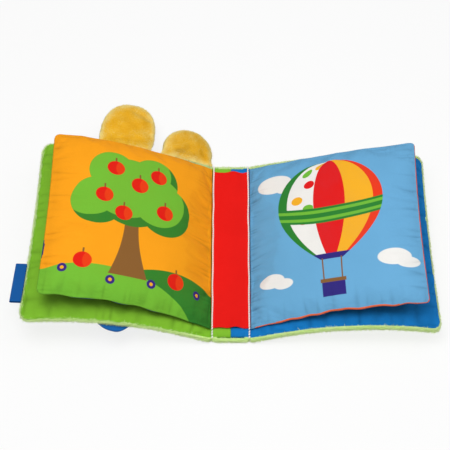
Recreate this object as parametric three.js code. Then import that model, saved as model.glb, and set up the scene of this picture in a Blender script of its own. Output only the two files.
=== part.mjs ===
import * as THREE from "three";

// A soft cloth book for a baby, lying open on a table. Two padded covers meet at a narrow spine, and two
// padded leaves are stitched down along both sides of a red strip in the middle. A stuffed animal head
// with a rattle capsule inside is sewn to the outside of the front cover, so the front cover lies on it.
// Millimetres, +Z up, X across the open book, Y along the spine towards the top of the pages.
// The origin is the middle of the spine's flat underside.

// Outlines
const bookHeight = 160;
const coverWidth = 145;
const coverCorner = 8;
const leafHeight = 147;
const leafWidth = 140;
const leafCorner = 6;
const spineWidth = 30;
const rimWidth = 1.6;
const drawnIn = 1.5;
const frontCoverSlant = 2.6;
const backCoverSlant = 1;
const leftLeafSlant = 1.2;
const leafRaise = 3.5;

// Heights of the seam lines above the table, halfway across each panel and at its outer edge
const frontCoverMiddle = 30;
const frontCoverEdge = 37;
const backCoverMiddle = 22;
const backCoverEdge = 21;
const leftLeafMiddle = 45;
const leftLeafEdge = 63;
const rightLeafMiddle = 34.5;
const rightLeafEdge = 51;

// Thicknesses, and how far the padding crowns above and below the seam lines
const plushThickness = 2.4;
const liningThickness = 0.8;
const leafFabricThickness = 0.6;
const seamPadding = 0.6;
const coverCrownAbove = 1;
const frontCrownBelow = 3;
const leafCrownAbove = 5;
const leafCrownBelow = 2;
const crownPower = 2.6;

// Spine
const spinePaddingThickness = 3;
const spinePaddingWidth = 26;
const stripThickness = 1.2;
const stripCrown = 0.6;
const threadRadius = 0.6;
const threadWaist = 0.3;
const stitchPitch = 5;
const stitchInset = 1.4;

// Head, ears and kerchief, in the plane of the front cover
const headAcross = 62;
const headUp = 30;
const headTurn = THREE.MathUtils.degToRad(6);
const headWidth = 92;
const headHeight = 90;
const headRoundness = 2.4;
const headFullness = 0.6;
const muzzleWidth = 46;
const muzzleHeight = 34;
const muzzleThickness = 1.6;
const muzzleBelowCentre = 16;
const leftEarAcross = 78;
const leftEarLength = 46;
const leftEarWidth = 45;
const leftEarRootShare = 0.92;
const leftEarSquareness = 2.4;
const leftEarWidestAt = 14;
const rightEarAcross = 23.5;
const rightEarLength = 30;
const rightEarWidth = 43;
const rightEarRootShare = 1.1;
const rightEarSquareness = 2;
const rightEarWidestAt = 8;
const earLean = 0.09;
const earPlushThickness = 1.8;
const earCrown = 4;
const earDrop = 1;
const kerchiefWidth = 84;
const kerchiefTip = 116;
const kerchiefBluntness = 1.8;
const kerchiefThickness = 1.2;
const kerchiefHem = 2;

// Rattle capsule and its beads
const capsuleRadius = 13;
const capsuleHeight = 10;
const capsuleWall = 1;
const capsuleLidHeight = 2.5;
const capsuleLip = 1.5;
const beadRadius = 2.2;
const beadCircle = 6;
const beadCount = 3;

// Ribbon tab sewn into the front cover's outer seam
const labelWidth = 33;
const labelLength = 9;
const labelThickness = 2.4;
const ribbonThickness = 0.7;
const labelAboveBottom = 30;

// Clearances
const clearance = 0.3;
const hingeGap = 1.2;
const seatGap = 0.6;
const leafSeat = 0.8;
const pocketEase = 0.8;
const stuffingGap = 0.5;
const collarGap = 1.2;
const floorPress = 0.5;

// Facets
const acrossSteps = 7;
const cornerSteps = 3;
const upSteps = 8;
const roundSteps = 24;
const turnedSteps = 16;
const threadSides = 5;
const curveSegments = 6;

// The stack of fabrics at the stitch lines: the leaves end level with the red strip's top, and the
// covers end just under the leaves
const spineLiningBase = plushThickness + clearance + spinePaddingThickness + clearance;
const stripBase = spineLiningBase + liningThickness + clearance;
const stripTop = stripBase + stripThickness;
const leafStack = 2 * (leafFabricThickness + clearance) + seamPadding;
const leafRoot = stripTop - leafStack / 2;
const coverStackAbove = seamPadding / 2 + clearance + liningThickness;
const coverStackBelow = seamPadding / 2 + clearance + plushThickness;
const coverRoot = stripTop - leafStack - leafSeat - coverStackAbove;

// Fabrics and plastics
const limePlush = { color: 0xafca5e, roughness: 1 };
const goldPlush = { color: 0xd69d15, roughness: 1 };
const creamPlush = { color: 0xefd9a8, roughness: 1 };
const greenCotton = { color: 0x7fb432, roughness: 0.85 };
const blueCotton = { color: 0x176aaa, roughness: 0.85 };
const redCotton = { color: 0xe31813, roughness: 0.85 };
const orangePrint = { color: 0xf69f18, roughness: 0.85 };
const skyPrint = { color: 0x69a8d2, roughness: 0.85 };
const navyCotton = { color: 0x2c3d7c, roughness: 0.85 };
const coralCotton = { color: 0xe6562a, roughness: 0.85 };
const kerchiefCotton = { color: 0x1f5fae, roughness: 0.85 };
const labelRibbon = { color: 0x1a5aa0, roughness: 0.75 };
const wadding = { color: 0xf0eee6, roughness: 0.95 };
const whiteThread = { color: 0xf4f2ec, roughness: 0.7 };
const rattlePlastic = { color: 0xf3f3f0, roughness: 0.4 };
const beadPlastic = { color: 0xd8402c, roughness: 0.35 };

const book = new THREE.Group();

function addPiece(parent, name, geometry, fabric) {
  const material = new THREE.MeshStandardMaterial({ ...fabric, metalness: 0 });
  const mesh = new THREE.Mesh(geometry, material);
  mesh.name = name;
  parent.add(mesh);
  return mesh;
}

// A closed solid from a vertex list and triangles, turned so that its faces point out
function closedSolid(points, triangles) {
  let volume = 0;
  for (const [a, b, c] of triangles) {
    volume += points[a].dot(points[b].clone().cross(points[c]));
  }
  const geometry = new THREE.BufferGeometry().setFromPoints(points);
  geometry.setIndex(triangles.flatMap(([a, b, c]) => (volume > 0 ? [a, b, c] : [a, c, b])));
  return geometry;
}

// The solid between two surfaces, low and high, over a grid of columns and rows
function sheet(columns, rows, low, high) {
  const points = [];
  const triangles = [];
  const across = columns.length;
  const up = rows.length;
  for (const surface of [low, high]) {
    for (const column of columns) {
      for (const row of rows) points.push(surface(column, row));
    }
  }
  const at = (layer, i, j) => (layer * across + i) * up + j;
  const quad = (a, b, c, d) => triangles.push([a, b, c], [a, c, d]);
  for (let i = 0; i + 1 < across; i++) {
    for (let j = 0; j + 1 < up; j++) {
      quad(at(0, i, j), at(0, i, j + 1), at(0, i + 1, j + 1), at(0, i + 1, j));
      quad(at(1, i, j), at(1, i + 1, j), at(1, i + 1, j + 1), at(1, i, j + 1));
    }
    quad(at(0, i, 0), at(0, i + 1, 0), at(1, i + 1, 0), at(1, i, 0));
    quad(at(0, i + 1, up - 1), at(0, i, up - 1), at(1, i, up - 1), at(1, i + 1, up - 1));
  }
  for (let j = 0; j + 1 < up; j++) {
    quad(at(0, 0, j + 1), at(0, 0, j), at(1, 0, j), at(1, 0, j + 1));
    quad(at(0, across - 1, j), at(0, across - 1, j + 1), at(1, across - 1, j + 1), at(1, across - 1, j));
  }
  return closedSolid(points, triangles);
}

// The solid between two surfaces over rings round a centre, given as shares of the outline
function roundSheet(rings, low, high) {
  const points = [];
  const triangles = [];
  const layerSize = 1 + rings.length * roundSteps;
  for (const surface of [low, high]) {
    points.push(surface(0, 0));
    for (const ring of rings) {
      for (let k = 0; k < roundSteps; k++) points.push(surface(ring, (2 * Math.PI * k) / roundSteps));
    }
  }
  const at = (layer, ring, k) => layer * layerSize + 1 + ring * roundSteps + (k % roundSteps);
  const last = rings.length - 1;
  for (let k = 0; k < roundSteps; k++) {
    triangles.push([0, at(0, 0, k + 1), at(0, 0, k)]);
    triangles.push([layerSize, at(1, 0, k), at(1, 0, k + 1)]);
    for (let ring = 0; ring < last; ring++) {
      triangles.push([at(0, ring, k), at(0, ring, k + 1), at(0, ring + 1, k + 1)]);
      triangles.push([at(0, ring, k), at(0, ring + 1, k + 1), at(0, ring + 1, k)]);
      triangles.push([at(1, ring, k), at(1, ring + 1, k + 1), at(1, ring, k + 1)]);
      triangles.push([at(1, ring, k), at(1, ring + 1, k), at(1, ring + 1, k + 1)]);
    }
    triangles.push([at(0, last, k), at(0, last, k + 1), at(1, last, k + 1)]);
    triangles.push([at(0, last, k), at(1, last, k + 1), at(1, last, k)]);
  }
  return closedSolid(points, triangles);
}

// A section drawn in X and Z, run along Y for the given length about the middle
function bar(section, length) {
  const run = { depth: length, bevelEnabled: false, curveSegments };
  const geometry = new THREE.ExtrudeGeometry(section, run);
  geometry.rotateX(Math.PI / 2);
  geometry.translate(0, length / 2, 0);
  return geometry;
}

// The line that a panel's seam follows from the stitch line outwards, as long as the panel is wide
function bentProfile(side, width, rootZ, middleZ, edgeZ) {
  const rootX = side * (spineWidth / 2 + hingeGap);
  const controlZ = 2 * middleZ - (rootZ + edgeZ) / 2;
  const passes = 6;
  let reach = width;
  let curve;
  for (let pass = 0; pass < passes; pass++) {
    curve = new THREE.QuadraticBezierCurve(
      new THREE.Vector2(rootX, rootZ),
      new THREE.Vector2(rootX + (side * reach) / 2, controlZ),
      new THREE.Vector2(rootX + side * reach, edgeZ),
    );
    reach *= width / curve.getLength();
  }
  return curve;
}

// A padded panel: s runs from the stitch line outwards, y along the spine and n square to the fabric. Its
// outer edge is drawn in at the middle and may slant, and its top may rise towards the spine
function makePanel(cut) {
  const { side, width, height, corner, rootZ, middleZ, edgeZ, crownAbove, crownBelow, slant, raise } = cut;
  const curve = bentProfile(side, width, rootZ, middleZ, edgeZ);
  const straight = width - corner;
  const frameAt = (s) => {
    const share = THREE.MathUtils.clamp(s / width, 0, 1);
    const point = curve.getPointAt(share);
    const along = curve.getTangentAt(share);
    point.addScaledVector(along, s - share * width);
    return { point, along, normal: new THREE.Vector2(-side * along.y, side * along.x) };
  };
  const lean = (s, y) => {
    const inward = (slant * 2 * y) / height + drawnIn * Math.max(0, Math.cos((Math.PI * y) / height));
    return s - (s / width) * inward;
  };
  const place = (s, y, n, floor = -Infinity) => {
    const { point, normal } = frameAt(lean(s, y));
    const rise = raise * Math.max(0, 1 - s / width) * (0.5 + y / height);
    point.addScaledVector(normal, n);
    return new THREE.Vector3(point.x, y + rise, Math.max(point.y, floor));
  };
  const halfHeight = (s) => {
    const past = THREE.MathUtils.clamp(s - straight, 0, corner);
    const inward = drawnIn * Math.sin(Math.PI * THREE.MathUtils.clamp(s / width, 0, 1));
    return height / 2 - inward - corner + Math.sqrt(corner ** 2 - past ** 2);
  };
  // A grid place, carried outwards square to the outline where it lies past it, and how far past it lies
  const edgePoint = (column, row) => {
    const s = Math.min(column, width);
    const y = Math.min(1, Math.abs(row)) * halfHeight(s);
    const pastEnd = column - s;
    const pastSide = Math.max(0, Math.abs(row) - 1);
    const out = Math.max(pastEnd, pastSide);
    const round = Math.asin(THREE.MathUtils.clamp((s - straight) / corner, 0, 1)) / 2;
    const endwise = Math.abs(row) < 1 ? Math.PI / 2 : (3 * Math.PI) / 8;
    const share = out > 0 ? pastEnd / (pastEnd + pastSide) : 0;
    const turn = THREE.MathUtils.lerp(round, endwise, share);
    return { s: s + out * Math.sin(turn), y: Math.sign(row) * (y + out * Math.cos(turn)), out };
  };
  const crown = (s, y) => {
    const v = Math.min(1, Math.abs(y) / halfHeight(s));
    const u = Math.min(1, Math.abs((2 * s) / width - 1));
    return (1 - u ** crownPower) * (1 - v ** crownPower);
  };
  const below = crownBelow ?? middleZ / frameAt(width / 2).normal.y - coverStackBelow + floorPress;
  const paddingTop = (s, y) => crownAbove * crown(s, y) + seamPadding / 2;
  const tableLimit = (s, y) => {
    const { point, normal } = frameAt(lean(s, y));
    return plushThickness + clearance - point.y / normal.y;
  };
  const paddingBottom = (s, y) => Math.max(-below * crown(s, y) - seamPadding / 2, tableLimit(s, y));
  const columns = [];
  for (let i = 0; i <= acrossSteps; i++) columns.push((straight * i) / acrossSteps);
  for (let i = 1; i <= cornerSteps; i++) {
    columns.push(straight + corner * Math.sin((Math.PI / 2) * (i / cornerSteps)));
  }
  const rows = [];
  for (let j = 0; j <= upSteps; j++) rows.push(Math.sin(Math.PI * (j / upSteps - 0.5)));
  const layer = (low, high) => sheet(
    columns,
    rows,
    (s, v) => place(s, v * halfHeight(s), low(s, v * halfHeight(s))),
    (s, v) => place(s, v * halfHeight(s), high(s, v * halfHeight(s))),
  );
  return { width, columns, rows, frameAt, place, halfHeight, edgePoint, paddingTop, paddingBottom, layer };
}

function addPadding(parent, name, panel) {
  addPiece(parent, name, panel.layer(panel.paddingBottom, panel.paddingTop), wadding);
}

function addTopFabric(parent, name, panel, thickness, fabric) {
  const low = (s, y) => panel.paddingTop(s, y) + clearance;
  addPiece(parent, name, panel.layer(low, (s, y) => low(s, y) + thickness), fabric);
}

function addBottomFabric(parent, name, panel, thickness, fabric) {
  const high = (s, y) => panel.paddingBottom(s, y) - clearance;
  addPiece(parent, name, panel.layer((s, y) => high(s, y) - thickness, high), fabric);
}

// The outer plush passes round the cover's edges and shows as a raised rim beside the lining
function addCoverPlush(parent, name, panel) {
  const wallIn = clearance;
  const wallOut = 2 * clearance;
  const rimTop = coverStackAbove + clearance;
  const rimFoot = -plushThickness / 2;
  const steps = [wallIn, wallOut, rimWidth];
  const columns = [...panel.columns, ...steps.map((step) => panel.width + step)];
  const pastTop = steps.map((step) => 1 + step);
  const pastBottom = pastTop.map((row) => -row).reverse();
  const rows = [...pastBottom, ...panel.rows, ...pastTop];
  const inner = (s, y) => panel.paddingBottom(s, y) - clearance;
  const high = (s, y, out) => {
    if (out <= wallIn) return inner(s, y);
    return THREE.MathUtils.mapLinear(out, wallOut, rimWidth, rimTop, 0);
  };
  const low = (s, y, out) => THREE.MathUtils.lerp(inner(s, y) - plushThickness, rimFoot, out / rimWidth);
  const surface = (level) => (column, row) => {
    const { s, y, out } = panel.edgePoint(column, row);
    return panel.place(s, y, level(s, y, out));
  };
  addPiece(parent, name, sheet(columns, rows, surface(low), surface(high)), limePlush);
}

// Spine: plush, thin padding, the two linings that meet in the middle, and the red strip
function addSpine() {
  const half = spineWidth / 2 - clearance;
  const turned = 1;
  const plushSection = new THREE.Shape();
  plushSection.moveTo(-half + turned, 0);
  plushSection.lineTo(half - turned, 0);
  plushSection.quadraticCurveTo(half, 0, half, turned);
  plushSection.lineTo(half, plushThickness);
  plushSection.lineTo(-half, plushThickness);
  plushSection.lineTo(-half, turned);
  plushSection.quadraticCurveTo(-half, 0, -half + turned, 0);
  addPiece(book, "spine_plush", bar(plushSection, bookHeight + 2 * rimWidth), limePlush);

  const strap = (left, right, base, thickness, crown) => {
    const section = new THREE.Shape();
    section.moveTo(left, base);
    section.lineTo(right, base);
    section.lineTo(right, base + thickness);
    const top = base + thickness;
    if (crown > 0) section.quadraticCurveTo((left + right) / 2, top + 2 * crown, left, top);
    else section.lineTo(left, top);
    return section;
  };
  const paddingHalf = spinePaddingWidth / 2;
  const padding = strap(-paddingHalf, paddingHalf, plushThickness + clearance, spinePaddingThickness, 0);
  addPiece(book, "spine_padding", bar(padding, leafHeight), wadding);
  const green = strap(-half, -clearance / 2, spineLiningBase, liningThickness, 0);
  addPiece(book, "spine_lining_green", bar(green, bookHeight), greenCotton);
  const blue = strap(clearance / 2, half, spineLiningBase, liningThickness, 0);
  addPiece(book, "spine_lining_blue", bar(blue, bookHeight), blueCotton);
  const strip = strap(-half, half, stripBase, stripThickness, stripCrown);
  addPiece(book, "spine_strip", bar(strip, leafHeight), redCotton);
}

// A row of stitches: one thread that thins where the needle took it down
function addStitching(name, side) {
  const stitches = Math.floor(bookHeight / stitchPitch);
  const start = (-stitches * stitchPitch) / 2;
  const profile = [new THREE.Vector2(0, start)];
  for (let k = 0; k < stitches; k++) {
    profile.push(new THREE.Vector2(threadWaist, start + k * stitchPitch + threadWaist));
    profile.push(new THREE.Vector2(threadRadius, start + (k + 0.5) * stitchPitch));
  }
  profile.push(new THREE.Vector2(threadWaist, -start - threadWaist), new THREE.Vector2(0, -start));
  const thread = addPiece(book, name, new THREE.LatheGeometry(profile, threadSides), whiteThread);
  thread.position.set(side * (spineWidth / 2 - stitchInset), 0, stripTop + stripCrown + threadRadius);
}

const frontCover = makePanel({
  side: -1,
  width: coverWidth,
  height: bookHeight,
  corner: coverCorner,
  rootZ: coverRoot,
  middleZ: frontCoverMiddle,
  edgeZ: frontCoverEdge,
  crownAbove: coverCrownAbove,
  crownBelow: frontCrownBelow,
  slant: frontCoverSlant,
  raise: 0,
});
const backCover = makePanel({
  side: 1,
  width: coverWidth,
  height: bookHeight,
  corner: coverCorner,
  rootZ: coverRoot,
  middleZ: backCoverMiddle,
  edgeZ: backCoverEdge,
  crownAbove: coverCrownAbove,
  slant: backCoverSlant,
  raise: 0,
});
const leaf = {
  width: leafWidth,
  height: leafHeight,
  corner: leafCorner,
  rootZ: leafRoot,
  crownAbove: leafCrownAbove,
  crownBelow: leafCrownBelow,
  raise: leafRaise,
};
const leftHeights = { middleZ: leftLeafMiddle, edgeZ: leftLeafEdge };
const rightHeights = { middleZ: rightLeafMiddle, edgeZ: rightLeafEdge };
const leftLeaf = makePanel({ ...leaf, ...leftHeights, side: -1, slant: leftLeafSlant });
const rightLeaf = makePanel({ ...leaf, ...rightHeights, side: 1, slant: 0 });

function addCovers() {
  addCoverPlush(book, "front_cover_plush", frontCover);
  addPadding(book, "front_cover_padding", frontCover);
  addTopFabric(book, "front_cover_lining", frontCover, liningThickness, greenCotton);
  addCoverPlush(book, "back_cover_plush", backCover);
  addPadding(book, "back_cover_padding", backCover);
  addTopFabric(book, "back_cover_lining", backCover, liningThickness, blueCotton);
}

function addLeaves() {
  addBottomFabric(book, "left_leaf_back", leftLeaf, leafFabricThickness, navyCotton);
  addPadding(book, "left_leaf_wadding", leftLeaf);
  addTopFabric(book, "left_leaf_front", leftLeaf, leafFabricThickness, orangePrint);
  addBottomFabric(book, "right_leaf_back", rightLeaf, leafFabricThickness, coralCotton);
  addPadding(book, "right_leaf_wadding", rightLeaf);
  addTopFabric(book, "right_leaf_front", rightLeaf, leafFabricThickness, skyPrint);
}

// Places on the front cover's outside are given from the head's centre: across to the right and up to the
// ears, turned with the head
const headToCover = (across, up) => ({
  s: headAcross - across * Math.cos(headTurn) - up * Math.sin(headTurn),
  y: headUp - across * Math.sin(headTurn) + up * Math.cos(headTurn),
});
const ceiling = (s, y) => frontCover.paddingBottom(s, y) - clearance - plushThickness - seatGap;

// The head fills the height between the cover and the table, where it is pressed flat
const faceFloor = muzzleThickness + seatGap;
const headFrame = frontCover.frameAt(headAcross);
const headSeat = ceiling(headAcross, headUp);
const headRoom = headFrame.point.y / headFrame.normal.y + headSeat;
const headDepth = headRoom - plushThickness - faceFloor + floorPress;
const headSwell = (share) => headDepth * (1 - Math.min(1, share) ** headRoundness) ** headFullness;

function addHead() {
  const facetReach = Math.cos(Math.PI / roundSteps);
  const pocket = (capsuleRadius + pocketEase) / facetReach / (Math.min(headWidth, headHeight) / 2);
  const wall = clearance / headHeight;
  const rings = [pocket, pocket + wall, 0.5, 0.7, 0.85, 0.94, 1];
  const onFace = (drop, floor) => (share, angle) => {
    const across = (headWidth / 2) * share * Math.cos(angle);
    const up = (headHeight / 2) * share * Math.sin(angle);
    const { s, y } = headToCover(across, up);
    return frontCover.place(s, y, ceiling(s, y) - drop(share), floor);
  };
  const plush = roundSheet(
    rings,
    onFace((share) => headSwell(share) + plushThickness, faceFloor),
    onFace(headSwell, faceFloor + plushThickness),
  );
  addPiece(book, "head_plush", plush, goldPlush);

  const pocketDepth = clearance + capsuleHeight + pocketEase;
  const stuffing = roundSheet(
    rings.slice(0, -1),
    onFace((share) => headSwell(share) - stuffingGap, faceFloor + plushThickness + stuffingGap),
    onFace((share) => (share <= pocket ? pocketDepth : 0), -Infinity),
  );
  addPiece(book, "head_stuffing", stuffing, wadding);

  const onMuzzle = (drop, floor) => (share, angle) => {
    const across = (muzzleWidth / 2) * share * Math.cos(angle);
    const up = (muzzleHeight / 2) * share * Math.sin(angle) - muzzleBelowCentre;
    const { s, y } = headToCover(across, up);
    const onHead = Math.hypot(across / (headWidth / 2), up / (headHeight / 2));
    return frontCover.place(s, y, ceiling(s, y) - headSwell(onHead) - plushThickness - drop, floor);
  };
  const muzzleLow = onMuzzle(seatGap + muzzleThickness, 0);
  const muzzle = roundSheet([0.5, 0.85, 1], muzzleLow, onMuzzle(seatGap, muzzleThickness));
  addPiece(book, "muzzle", muzzle, creamPlush);
}

// The kerchief hangs from the chin, its corner pointing down past the cover's bottom edge
function addKerchief() {
  const half = kerchiefWidth / 2;
  const sideSteps = 4;
  const columns = [];
  for (let k = -sideSteps; k <= sideSteps; k++) columns.push(Math.sin((Math.PI / 2) * (k / sideSteps)));
  const rows = [0, 0.35, 0.7, 1];
  const chin = (across) => {
    const share = across / (headWidth / 2 + collarGap);
    return -(headHeight / 2 + collarGap) * Math.sqrt(1 - share ** 2);
  };
  const shoulder = chin(half) - kerchiefHem;
  const hem = (across) => {
    const share = (Math.abs(across) / half) ** kerchiefBluntness;
    return THREE.MathUtils.lerp(-kerchiefTip, shoulder, share);
  };
  const onCover = (drop) => (u, v) => {
    const across = u * half;
    const { s, y } = headToCover(across, THREE.MathUtils.lerp(chin(across), hem(across), v));
    return frontCover.place(s, y, ceiling(s, y) - drop);
  };
  addPiece(book, "kerchief", sheet(columns, rows, onCover(kerchiefThickness), onCover(0)), kerchiefCotton);
}

// An ear: two plush faces round a stuffing, sewn flat into the cover's top seam and round at the tip
function addEar(name, cut) {
  const { across, length, width, rootShare, squareness, widestAt } = cut;
  const { along } = frontCover.frameAt(across);
  const ear = new THREE.Group();
  const rootHalf = (width / 2) * rootShare;
  const seams = [across - rootHalf, across, across + rootHalf].map(frontCover.halfHeight);
  ear.position.copy(frontCover.place(across, Math.max(...seams) + rimWidth + seatGap, -earDrop));
  ear.rotation.y = Math.atan2(along.y, -along.x);
  book.add(ear);
  const tipSteps = 5;
  const tipTurn = THREE.MathUtils.degToRad(80);
  const columns = [0, widestAt / 2];
  for (let k = 0; k <= tipSteps; k++) {
    columns.push(widestAt + (length - widestAt) * Math.sin((tipTurn * k) / tipSteps));
  }
  const rows = [-1, -0.85, -0.5, 0, 0.5, 0.85, 1];
  const halfWidth = (a) => {
    if (a < widestAt) return (width / 2) * (1 - (1 - rootShare) * (1 - a / widestAt) ** 2);
    const share = (a - widestAt) / (length - widestAt);
    return (width / 2) * (1 - share ** squareness) ** (1 / squareness);
  };
  const swell = (a, v) => {
    const lengthwise = Math.sin((Math.PI * a) / length) ** 0.6;
    return earCrown * (1 - v ** 2) * lengthwise + seamPadding / 2;
  };
  const at = (level) => (a, v) => new THREE.Vector3(v * halfWidth(a) + earLean * a, a, level(a, v));
  const inside = (a, v) => swell(a, v) + clearance;
  const outside = (a, v) => inside(a, v) + earPlushThickness;
  const minus = (level) => (a, v) => -level(a, v);
  addPiece(ear, `${name}_back`, sheet(columns, rows, at(inside), at(outside)), goldPlush);
  addPiece(ear, `${name}_stuffing`, sheet(columns, rows, at(minus(swell)), at(swell)), wadding);
  addPiece(ear, `${name}_front`, sheet(columns, rows, at(minus(outside)), at(minus(inside))), goldPlush);
}

// The rattle: a two-part capsule in the head's pocket, with loose beads
function addRattle() {
  const rattle = new THREE.Group();
  rattle.position.copy(frontCover.place(headAcross, headUp, headSeat - clearance - capsuleHeight));
  rattle.rotation.y = Math.atan2(headFrame.normal.x, headFrame.normal.y);
  book.add(rattle);
  const turned = (points) => {
    const profile = points.map(([r, z]) => new THREE.Vector2(r, z));
    return new THREE.LatheGeometry(profile, turnedSteps).rotateX(Math.PI / 2);
  };
  const inner = capsuleRadius - capsuleWall;
  const joint = capsuleHeight - capsuleLidHeight;
  const base = turned([
    [0, 0],
    [capsuleRadius, 0],
    [capsuleRadius, joint - clearance],
    [inner, joint - clearance],
    [inner, capsuleWall],
    [0, capsuleWall],
  ]);
  addPiece(rattle, "rattle_base", base, rattlePlastic);
  const lip = inner - clearance;
  const lid = turned([
    [0, capsuleHeight - capsuleWall],
    [lip - capsuleWall, capsuleHeight - capsuleWall],
    [lip - capsuleWall, joint - capsuleLip],
    [lip, joint - capsuleLip],
    [lip, joint],
    [capsuleRadius, joint],
    [capsuleRadius, capsuleHeight],
    [0, capsuleHeight],
  ]);
  addPiece(rattle, "rattle_lid", lid, rattlePlastic);
  for (let k = 0; k < beadCount; k++) {
    const angle = (2 * Math.PI * k) / beadCount;
    const ball = new THREE.SphereGeometry(beadRadius, 8, 6);
    const bead = addPiece(rattle, `rattle_bead_${k + 1}`, ball, beadPlastic);
    const height = capsuleWall + clearance + beadRadius;
    bead.position.set(beadCircle * Math.cos(angle), beadCircle * Math.sin(angle), height);
  }
}

// The side label: a short ribbon folded in two and sewn into the seam
function addLabel() {
  const outer = labelThickness / 2;
  const inner = outer - ribbonThickness;
  const bend = labelLength - outer;
  const section = new THREE.Shape();
  section.moveTo(0, -outer);
  section.lineTo(bend, -outer);
  section.absarc(bend, 0, outer, -Math.PI / 2, Math.PI / 2, false);
  section.lineTo(0, outer);
  section.lineTo(0, inner);
  section.lineTo(bend, inner);
  section.absarc(bend, 0, inner, Math.PI / 2, -Math.PI / 2, true);
  section.lineTo(0, -inner);
  const label = addPiece(book, "side_label", bar(section, labelWidth), labelRibbon);
  const labelY = labelAboveBottom - bookHeight / 2;
  const edgeAt = (y) => frontCover.place(coverWidth + rimWidth + clearance, y, 0);
  const { normal } = frontCover.frameAt(coverWidth);
  const along = edgeAt(labelY + labelWidth / 2).sub(edgeAt(labelY - labelWidth / 2)).normalize();
  const down = new THREE.Vector3(-normal.x, 0, -normal.y);
  const out = along.clone().cross(down).normalize();
  label.position.copy(edgeAt(labelY));
  label.setRotationFromMatrix(new THREE.Matrix4().makeBasis(out, along, out.clone().cross(along)));
}

addSpine();
addStitching("left_stitching", -1);
addStitching("right_stitching", 1);
addCovers();
addLeaves();
addHead();
addKerchief();
addEar("left_ear", {
  across: leftEarAcross,
  length: leftEarLength,
  width: leftEarWidth,
  rootShare: leftEarRootShare,
  squareness: leftEarSquareness,
  widestAt: leftEarWidestAt,
});
addEar("right_ear", {
  across: rightEarAcross,
  length: rightEarLength,
  width: rightEarWidth,
  rootShare: rightEarRootShare,
  squareness: rightEarSquareness,
  widestAt: rightEarWidestAt,
});
addRattle();
addLabel();

export default book;
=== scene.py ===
import copy
import math

import bpy
import numpy as np
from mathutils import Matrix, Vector


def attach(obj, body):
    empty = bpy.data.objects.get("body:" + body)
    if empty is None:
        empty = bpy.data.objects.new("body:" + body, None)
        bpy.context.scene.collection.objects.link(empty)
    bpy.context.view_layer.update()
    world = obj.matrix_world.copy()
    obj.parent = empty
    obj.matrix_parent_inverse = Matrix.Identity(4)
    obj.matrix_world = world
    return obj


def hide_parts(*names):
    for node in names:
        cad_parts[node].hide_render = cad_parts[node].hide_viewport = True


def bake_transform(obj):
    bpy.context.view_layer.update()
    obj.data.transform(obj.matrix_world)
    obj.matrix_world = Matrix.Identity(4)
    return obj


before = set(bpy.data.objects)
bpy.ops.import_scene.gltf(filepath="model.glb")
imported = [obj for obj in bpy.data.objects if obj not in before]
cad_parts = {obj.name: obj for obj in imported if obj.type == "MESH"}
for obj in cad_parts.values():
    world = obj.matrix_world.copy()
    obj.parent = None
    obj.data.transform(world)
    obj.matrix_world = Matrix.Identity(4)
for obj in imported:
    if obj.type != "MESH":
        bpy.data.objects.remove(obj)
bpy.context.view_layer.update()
scene = bpy.context.scene
scene.view_settings.view_transform = "Standard"
print("frame loaded:", len(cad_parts), "nodes")

metre = 0.001  # all sizes below are millimetres: x across the open book, y along the spine, z up
uvSpan = 400.0  # the cloth map holds 400 mm each way about its middle
fullTurn, quarterTurn = 2 * math.pi, math.pi / 2
tiny = 1e-9  # keeps a division off 0
white = (1.0, 1.0, 1.0, 1.0)


# Light, floor and camera
studio = {
    "cameraAt": (-3.0, -492.1, 832.6), "cameraTo": (-4.8, 26.1, 0),
    "lens": 94.96, "sensor": 36, "nearest": 10,
    "lamps": {
        "keyLamp": dict(at=(-140, -150, 930), size=420, power=5.2),
        "fillLamp": dict(at=(340, 20, 800), size=550, power=1.75),
    },
    "lampTo": (0, 20, 20), "sky": 0.36,
    "floorReach": 3000, "floorDrop": 0.4, "floorGrey": 0.86,
    "floorWhite": 0.8,  # share of the floor that shows as plain white
}


def tint(red, green, blue):
    # a colour as it is picked on screen, made linear for the shaders
    share = np.array([red, green, blue]) / 255
    linear = np.where(share <= 0.04045, share / 12.92, ((share + 0.055) / 1.055) ** 2.4)
    return (*map(float, linear), 1.0)


class Value:
    # a shader socket in plain maths: each sum or product adds its Math node
    def __init__(self, finish, socket):
        self.finish = finish
        self.socket = socket

    def maths(self, operation, *others):
        inputs = dict(enumerate((self, *others)))
        return self.finish.node("ShaderNodeMath", {"operation": operation}, inputs)

    def __add__(self, other):
        return self.maths("ADD", other)

    def __sub__(self, other):
        return self.maths("SUBTRACT", other)

    def __rsub__(self, other):
        return self.maths("MULTIPLY", -1.0).maths("ADD", other)

    def __mul__(self, other):
        return self.maths("MULTIPLY", other)

    def __truediv__(self, other):
        return self.maths("DIVIDE", other)

    def __pow__(self, other):
        return self.maths("POWER", other)

    def __abs__(self):
        return self.maths("ABSOLUTE")

    def __or__(self, other):  # either of two masks
        return self.maths("MAXIMUM", other)

    def __and__(self, other):  # both of two masks
        return self.maths("MINIMUM", other)

    __radd__, __rmul__ = __add__, __mul__

    def ramp(self, start, end):  # 0 at start, 1 at end, straight between
        inputs = {"Value": self, "From Min": start, "From Max": end}
        return self.finish.node("ShaderNodeMapRange", {"clamp": True}, inputs)

    def output(self, name):
        return Value(self.finish, self.socket.node.outputs[name])


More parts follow.
